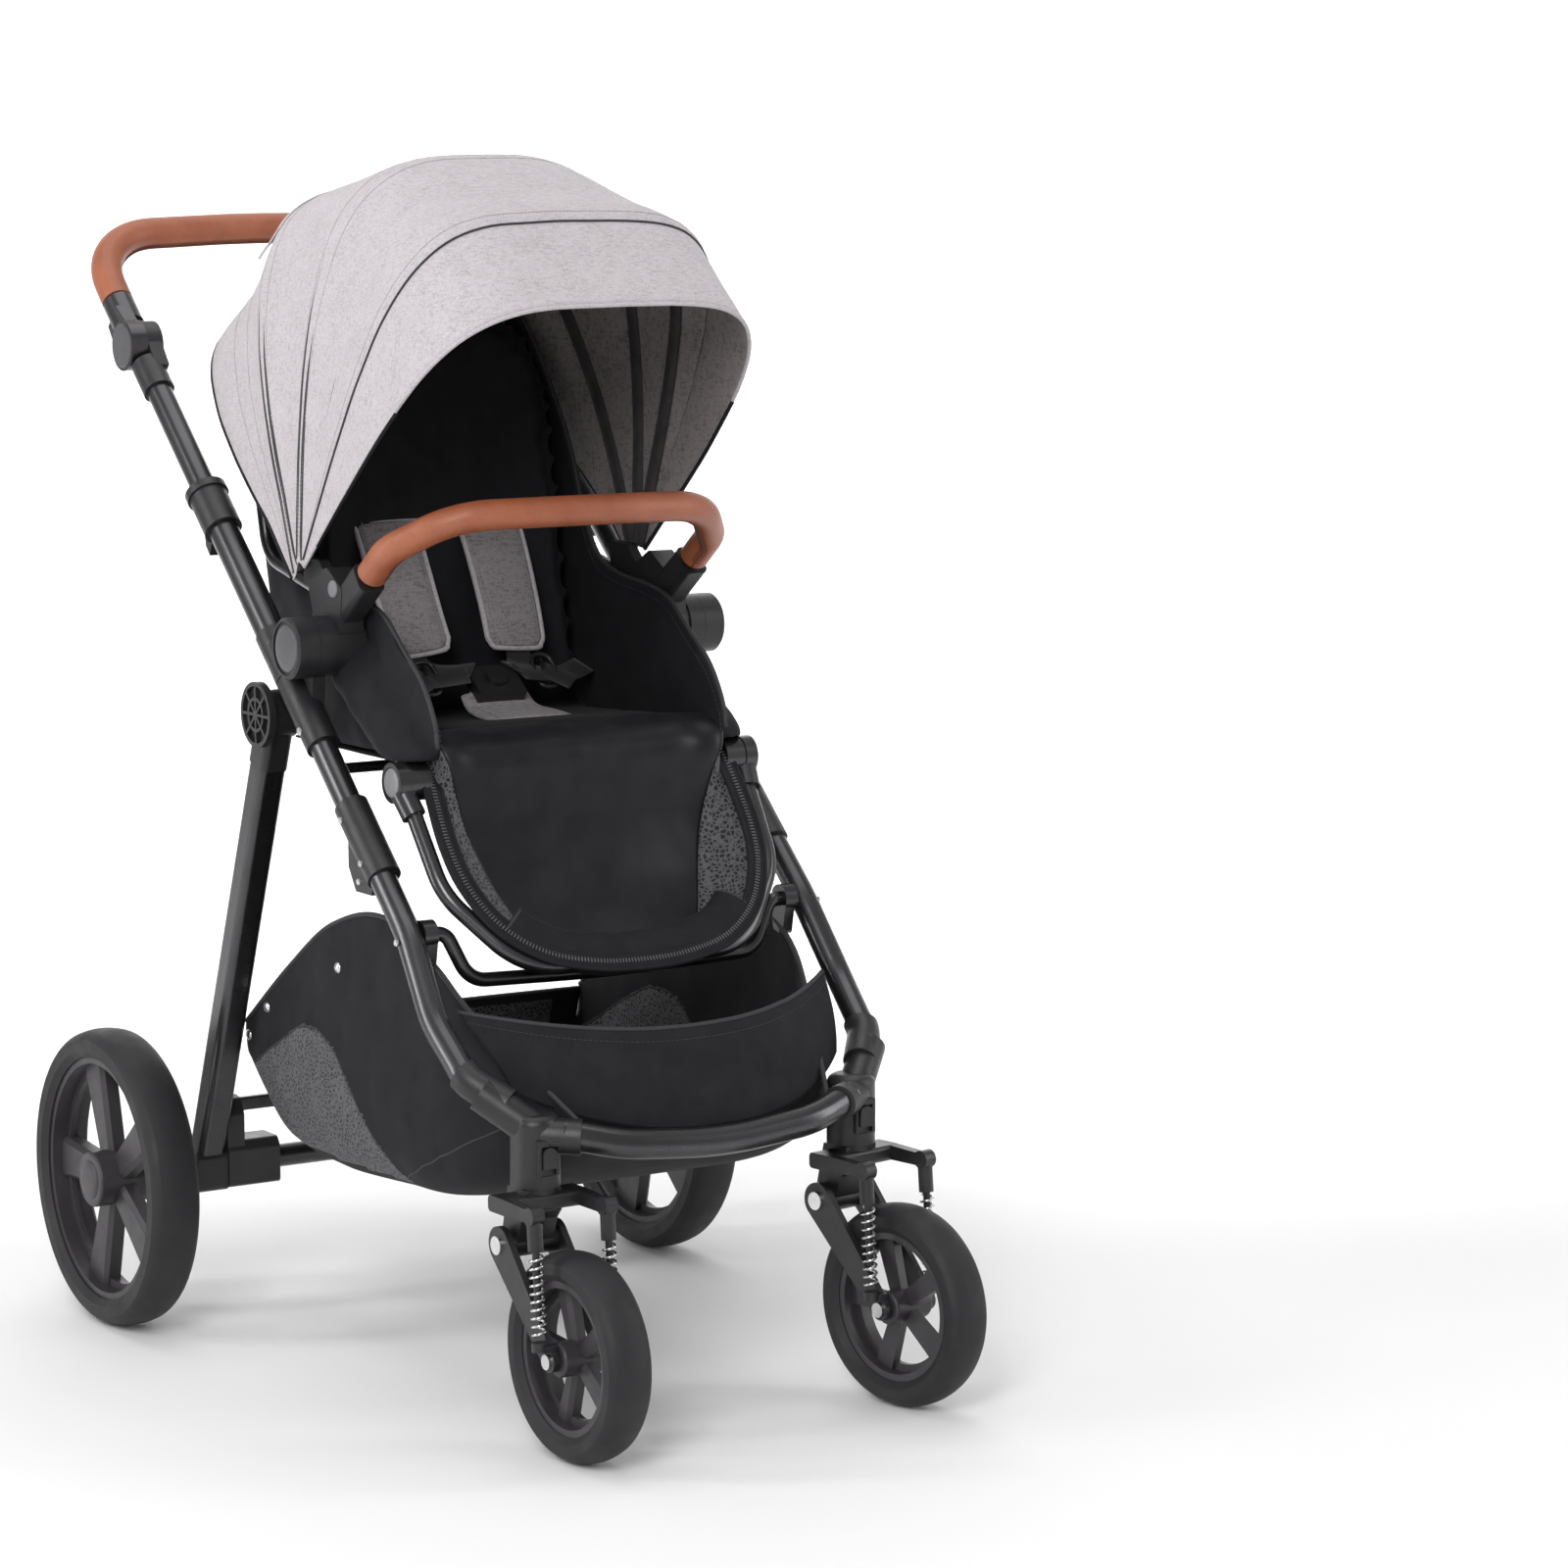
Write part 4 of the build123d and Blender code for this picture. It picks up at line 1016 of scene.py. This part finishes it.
def basket_tub():
    """Sagging fabric tub with mesh windows at its rear, snaps and bound edges."""
    front, rear = -588.0, -56.0

    def surface(u, v):
        y = rear + (front - rear) * v
        top, low, half = basket_section(y)
        flat = point_on(BASKET_ARCH, u)
        x, deep = flat.x / BASKET_HALF * half, flat.y / BASKET_DEEP
        z = top - (top - low) * deep
        height = (z - low) / max(1, top - low)
        sag = 4 * sin(pi * min(1, max(0, height))) * sin(pi * v)
        spot = Vector((x, y, z)) * MM
        pull = Vector((z * 0.4, y, 0)) * MM
        fold = 2.6 * ripple(spot, 90, 6.0) + 1.2 * ripple(spot, 36, 1.0) + 1.2 * ripple(pull, 44, 4.4)
        side = 1 if x > 0 else -1
        edge = min(1.0, (1 - height) * 6)
        return at(x + side * (sag + fold * edge) * abs(x / half) ** 3, y, z - 2 * deep * sin(pi * v))

    def is_net(u, v):
        spot = surface(u, v) / MM
        y, z = spot.y - AXLE_Y / MM, spot.z
        return 1 if -345 < y < -66 and abs(spot.x) > 150 and z < along_curve(NET_EDGE, y) and z > 184 else 0

    tub = piece("basket_tub", grid(surface, 150, 130, choose=is_net), [CLOTH, NET])

    def rear_wall(u, v):
        across = 2 * u - 1
        top, low, half = basket_section(rear)
        z = low + (top - 4 - low) * v
        x = across * half * (1 - 0.04 * (1 - v))
        return at(x, rear + 4 * (1 - across**2), z)

    def wall_net(u, v):
        return 1 if 0.08 < u < 0.92 and v < 0.8 else 0

    join(tub, piece("rear_wall", grid(rear_wall, 60, 14, choose=wall_net), [CLOTH, NET]))
    modified(tub, "SOLIDIFY", thickness=2.0 * MM, offset=0)
    trim = bmesh.new()
    for side in (0.0, 1.0):
        cord_mesh([surface(side, n / 90) for n in range(91)], 2.4 * MM, trim, 8)
    cord_mesh([rear_wall(n / 60, 1.0) for n in range(61)], 2.4 * MM, trim, 8)
    for side in (0, 1):

        def on_side(y, z, side=side):
            v = (y - rear) / (front - rear)
            best = min((abs(surface(u / 400, v).z / MM - z), u / 400) for u in range(170))
            return surface(best[1] if side == 0 else 1 - best[1], v)

        net_edge = [on_side(y, along_curve(NET_EDGE, y)) for y in range(-66, -346, -8)]
        cord_mesh(smooth_path(net_edge, 60), 1.6 * MM, trim)
        crease = [on_side(y, 190 + 92 * ((y + 345) / -205) ** 1.1) for y in range(-346, -548, -12)]
        cord_mesh(smooth_path(crease, 40), 1.3 * MM, trim)
        for k, (y, z) in enumerate(((-257, 368), (-102, 306), (-62, 274))):
            spot = on_side(y, z)
            out = Vector((-1 if side == 0 else 1, 0, 0))
            snap(f"snap_{'right' if side == 0 else 'left'}_{k + 1}", spot + out * 1.0 * MM, out)
    join(tub, piece("basket_trim", trim, DARK_THREAD))
    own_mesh(tub)
    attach(tub, "front_frame")
    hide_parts("basket")


def front_band():
    """Wide band between the front legs, from leg to leg and down to the cross tube."""

    def surface(u, v):
        across = 2 * u - 1
        low_y = -604 + 66 * abs(across) ** 2.2
        top_y = -560 + 78 * abs(across) ** 2.2
        low_z = 264 + 36 * abs(across) ** 2.6
        top_z = 344 + 18 * abs(across) ** 2
        x_low, x_top = across * 164, across * 186
        spot = Vector((across * 180, v * 90, 0)) * MM
        fold = 1.6 * ripple(spot, 70, 2.2) + 0.7 * ripple(spot, 24, 5.2)
        bow = 6 * sin(pi * v)
        y = low_y + (top_y - low_y) * v - bow + fold
        return at(x_low + (x_top - x_low) * v, y, low_z + (top_z - low_z) * v)

    band = piece("basket_band", grid(surface, 90, 26), CLOTH)
    modified(band, "SOLIDIFY", thickness=2.2 * MM, offset=0)
    trim = bmesh.new()
    cord_mesh([surface(n / 90, 1.0) for n in range(91)], 2.2 * MM, trim, 8)
    row = [surface(n / 90, 0.88) + Vector((0, -0.0016, 0)) for n in range(91)]
    stitches(row, 3 * MM, 1.6 * MM, 0.45 * MM, trim)
    join(band, piece("band_trim", trim, DARK_THREAD))
    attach(band, "front_frame")


SNAP_RADIUS = 5.2


def snap(name, point, out):
    """Domed press stud."""
    dome = [(0, 2.2), (0.35, 2.1), (0.7, 1.6), (0.95, 0.6), (1.0, 0.0)]
    profile = [(share * SNAP_RADIUS, height) for share, height in dome]
    turned(name, point, out, profile, STEEL, "front_frame", 16)


# -------------------------------------------------------------------- leather


def filleted(points, radii, step=3.0):
    """Points about step millimetres apart along straight runs joined by tangent arcs."""
    made = [points[0]]
    for before, corner, after, radius in zip(points, points[1:], points[2:], radii):
        back, ahead = (before - corner).normalized(), (after - corner).normalized()
        half = back.angle(ahead) / 2
        centre = corner + (back + ahead).normalized() * radius / sin(half)
        start = corner + back * radius / tan(half) - centre
        end = corner + ahead * radius / tan(half) - centre
        bend = start.angle(end)
        count = max(4, int(bend * radius / step))
        for n in range(count + 1):
            part = n / count
            made.append(centre + (start * sin((1 - part) * bend) + end * sin(part * bend)) / sin(bend))
    made.append(points[-1])
    length = sum((b - a).length for a, b in zip(made, made[1:]))
    return evenly(divided(made), int(length / step))


def divided(points):
    """The same polyline with short steps, so that even spacing can be read from it."""
    fine = []
    for a, b in zip(points, points[1:]):
        fine += [a.lerp(b, n / 12) for n in range(12)]
    return fine + [points[-1]]


def lacing(name, route, radius, inward, body):
    """Laced seam of a leather sleeve: a groove cord and slanted stitches on the side that inward(n) faces."""
    seam, cross = bmesh.new(), bmesh.new()
    last = len(route) - 1
    ahead = [(route[min(n + 1, last)] - route[max(n - 1, 0)]).normalized() for n in range(last + 1)]
    faces = []
    for point, tangent in zip(route, ahead):
        face = inward(point)
        faces.append((face - tangent * face.dot(tangent)).normalized())
    cord_mesh([at(*(p + f * (radius - 0.1))) for p, f in zip(route, faces)], 0.9 * MM, seam)
    for n in range(3, len(route) - 3):
        across = ahead[n].cross(faces[n])
        ends = []
        for side, shift in ((1, -1.1), (-1, 1.1)):
            out = (faces[n] * 0.95 + across * 0.30 * side).normalized()
            ends.append(at(*(route[n] + out * (radius + 0.25) + ahead[n] * shift)))
        top = at(*(route[n] + faces[n] * (radius + 0.9)))
        cord_mesh([ends[0], top, ends[1]], 0.55 * MM, cross, 5)
    made = piece(name, seam, BROWN_THREAD)
    join(made, piece("lace", cross, BROWN_THREAD))
    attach(made, body)


LINE_ANGLE = radians(42.2)
LINE_DIR = Vector((0, cos(LINE_ANGLE), sin(LINE_ANGLE)))
LINE_DOWN = Vector((0, sin(LINE_ANGLE), -cos(LINE_ANGLE)))


def handle_at(x, reach):
    """Point of the handle: x across, reach from the pivot along the main tube line."""
    return Vector((x, -233, 655)) + LINE_DOWN * 44 + LINE_DIR * (430 + reach)


def leather_details():
    """Lacing along the inner side of the handle's and the bumper's leather."""
    half = 200
    start = handle_at(half, 60)
    route = [start, handle_at(half - 2, 150), handle_at(0, 162), handle_at(2 - half, 150)]
    route.append(Vector((-start.x, start.y, start.z)))
    handle = filleted(route, [72, 1200, 72])
    pivot = handle_at(0, 20)
    lacing("handle_lacing", handle, 15.0, lambda p: (pivot - p).normalized() + Vector((0, 0, -0.6)), "handle")
    tilt = radians(143)
    out = Vector((0, cos(tilt), sin(tilt)))
    socket = Vector((167, -258, 696))
    right = [socket + out * 46, socket + out * 84 - Vector((1, 0, 0)), Vector((126, -376, 778))]
    right[0].x = 166.6
    route = right + [Vector((0, -402, 781))] + [Vector((-p.x, p.y, p.z)) for p in reversed(right)]
    bumper = filleted(route, [34, 80, 330, 80, 34])
    lacing("bumper_lacing", bumper, 13.5, lambda p: Vector((-p.x * 0.3, 60, -150)), "bumper")


def turned(name, centre, axis, profile, material, body, sides=48):
    """Turned part: profile lists (radius, height) in millimetres from the tip outwards, about axis."""
    bm = bmesh.new()
    turn = axis.to_track_quat("Z", "Y").to_matrix()
    rings = []
    for reach, height in profile[1:]:
        ring = []
        for k in range(sides):
            angle = 2 * pi * k / sides
            spot = turn @ Vector((cos(angle) * reach, sin(angle) * reach, height))
            ring.append(bm.verts.new(centre + spot * MM))
        rings.append(ring)
    tip = bm.verts.new(centre + axis * profile[0][1] * MM)
    for k in range(sides):
        j = (k + 1) % sides
        bm.faces.new((tip, rings[0][k], rings[0][j]))
        for a, b in zip(rings, rings[1:]):
            bm.faces.new((a[k], b[k], b[j], a[j]))
    return piece(name, bm, material, body)


HUB = (-233.0, 655.0)


def caps():
    """Inset caps on the fold hubs, the leg rest's knuckles and the wheels."""
    for name, side in (("left", 1), ("right", -1)):
        out = Vector((side, 0, 0))
        disc = [(0, 1.0), (15, 1.0), (19.5, 0.7), (21.2, 0.0), (21.6, -1.2)]
        turned("hub_cap_" + name, at(side * 221.2, *HUB), out, disc, CAP, "push_frame")
        small = [(0, 2.6), (10, 2.6), (12.2, 2.2), (13.2, 1.2), (13.5, -0.6)]
        knuckle = at(side * 182.4, *REST_PIVOT)
        turned("knuckle_cap_" + name, knuckle, out, small, GREY, "leg_rest")
        wheel = [(0, 2.4), (13, 2.2), (17, 1.4), (18.5, 0.2), (18.8, -0.6)]
        hub = at(side * 318, 0, 140)
        turned("wheel_cap_" + name, hub, out, wheel, RIM, "rear_wheel_" + name)


# ------------------------------------------------------------ camera and light


VIEW_TURN, VIEW_TILT = radians(-32.51), radians(7.81)
VIEW_PLACE = at(-2026.3, -3889.5, 1089.5)


def camera():
    """Camera at VIEW_PLACE, turned about the stroller and tilted down."""
    turn, tilt = VIEW_TURN, VIEW_TILT
    back = Vector((sin(turn) * cos(tilt), -cos(turn) * cos(tilt), sin(tilt)))
    right = Vector((cos(turn), sin(turn), 0))
    up = back.cross(right)
    data = bpy.data.cameras.new("camera")
    data.sensor_width = 36
    data.lens = 105.2
    data.clip_end = 60
    obj = bpy.data.objects.new("camera", data)
    obj.matrix_world = Matrix.Translation(VIEW_PLACE) @ Matrix((right, up, back)).transposed().to_4x4()
    bpy.context.scene.collection.objects.link(obj)
    bpy.context.scene.camera = obj


def area_light(name, place, aim, size, power, tint=(1, 1, 1)):
    data = bpy.data.lights.new(name, "AREA")
    data.shape = "RECTANGLE"
    data.size, data.size_y = size
    data.energy = power
    data.color = tint
    obj = bpy.data.objects.new(name, data)
    obj.location = place
    obj.rotation_euler = (Vector(place) - Vector(aim)).to_track_quat("Z", "Y").to_euler()
    bpy.context.scene.collection.objects.link(obj)


def studio():
    """Pale floor curving up into a backdrop, a soft key from the front left, fill and rim lights."""

    def sweep(u, v):
        x = (u - 0.5) * 16
        length = v * 13
        if length < 7:
            y, z = -5 + length, 0
        elif length < 7 + pi:
            turn = (length - 7) / 2
            y, z = 2 + 2 * sin(turn), 2 - 2 * cos(turn)
        else:
            y, z = 4, 2 + length - 7 - pi
        across = Vector((cos(VIEW_TURN), sin(VIEW_TURN), 0))
        ahead = Vector((-sin(VIEW_TURN), cos(VIEW_TURN), 0))
        return across * x + ahead * y + Vector((0, 0, z))

    floor = Shade("pale_floor", Roughness=0.9)
    floor.colour(floor.ramp(floor.noise(2, 2), (0.3, (0.86, 0.86, 0.86)), (0.7, (0.88, 0.88, 0.88))))
    piece("studio_floor", grid(sweep, 8, 60), floor.material)
    world = bpy.data.worlds.new("studio")
    bpy.context.scene.world = world
    world.use_nodes = True
    world.node_tree.nodes["Background"].inputs["Color"].default_value = (1.0, 1.0, 1.0, 1)
    world.node_tree.nodes["Background"].inputs["Strength"].default_value = 0.34
    area_light("key", (-2.6, -3.0, 2.6), (0, 0, 0.6), (1.3, 2.0), 100)
    area_light("fill", (3.0, -2.0, 1.5), (0, 0, 0.5), (0.9, 2.6), 36)
    area_light("strip", (-2.8, 0.9, 1.3), (0, 0, 0.5), (0.5, 2.6), 40)
    area_light("top", (0, 0.2, 3.6), (0, 0, 0.5), (3.0, 3.0), 46)
    area_light("backdrop", (0.6, 1.4, 2.6), (2.6, 4.6, 0.9), (3.0, 1.5), 120)
    bpy.context.scene.view_settings.view_transform = "Standard"


camera()
studio()
hood()
vent_flap()
seat_cushion()
seat_side(1)
seat_side(-1)
seat_back_skin()
seat_underside()
shoulder_pad(1)
shoulder_pad(-1)
crotch_pad()
harness_straps()
rest_panel()
rest_band()
rest_zip()
basket_tub()
front_band()
leather_details()
caps()
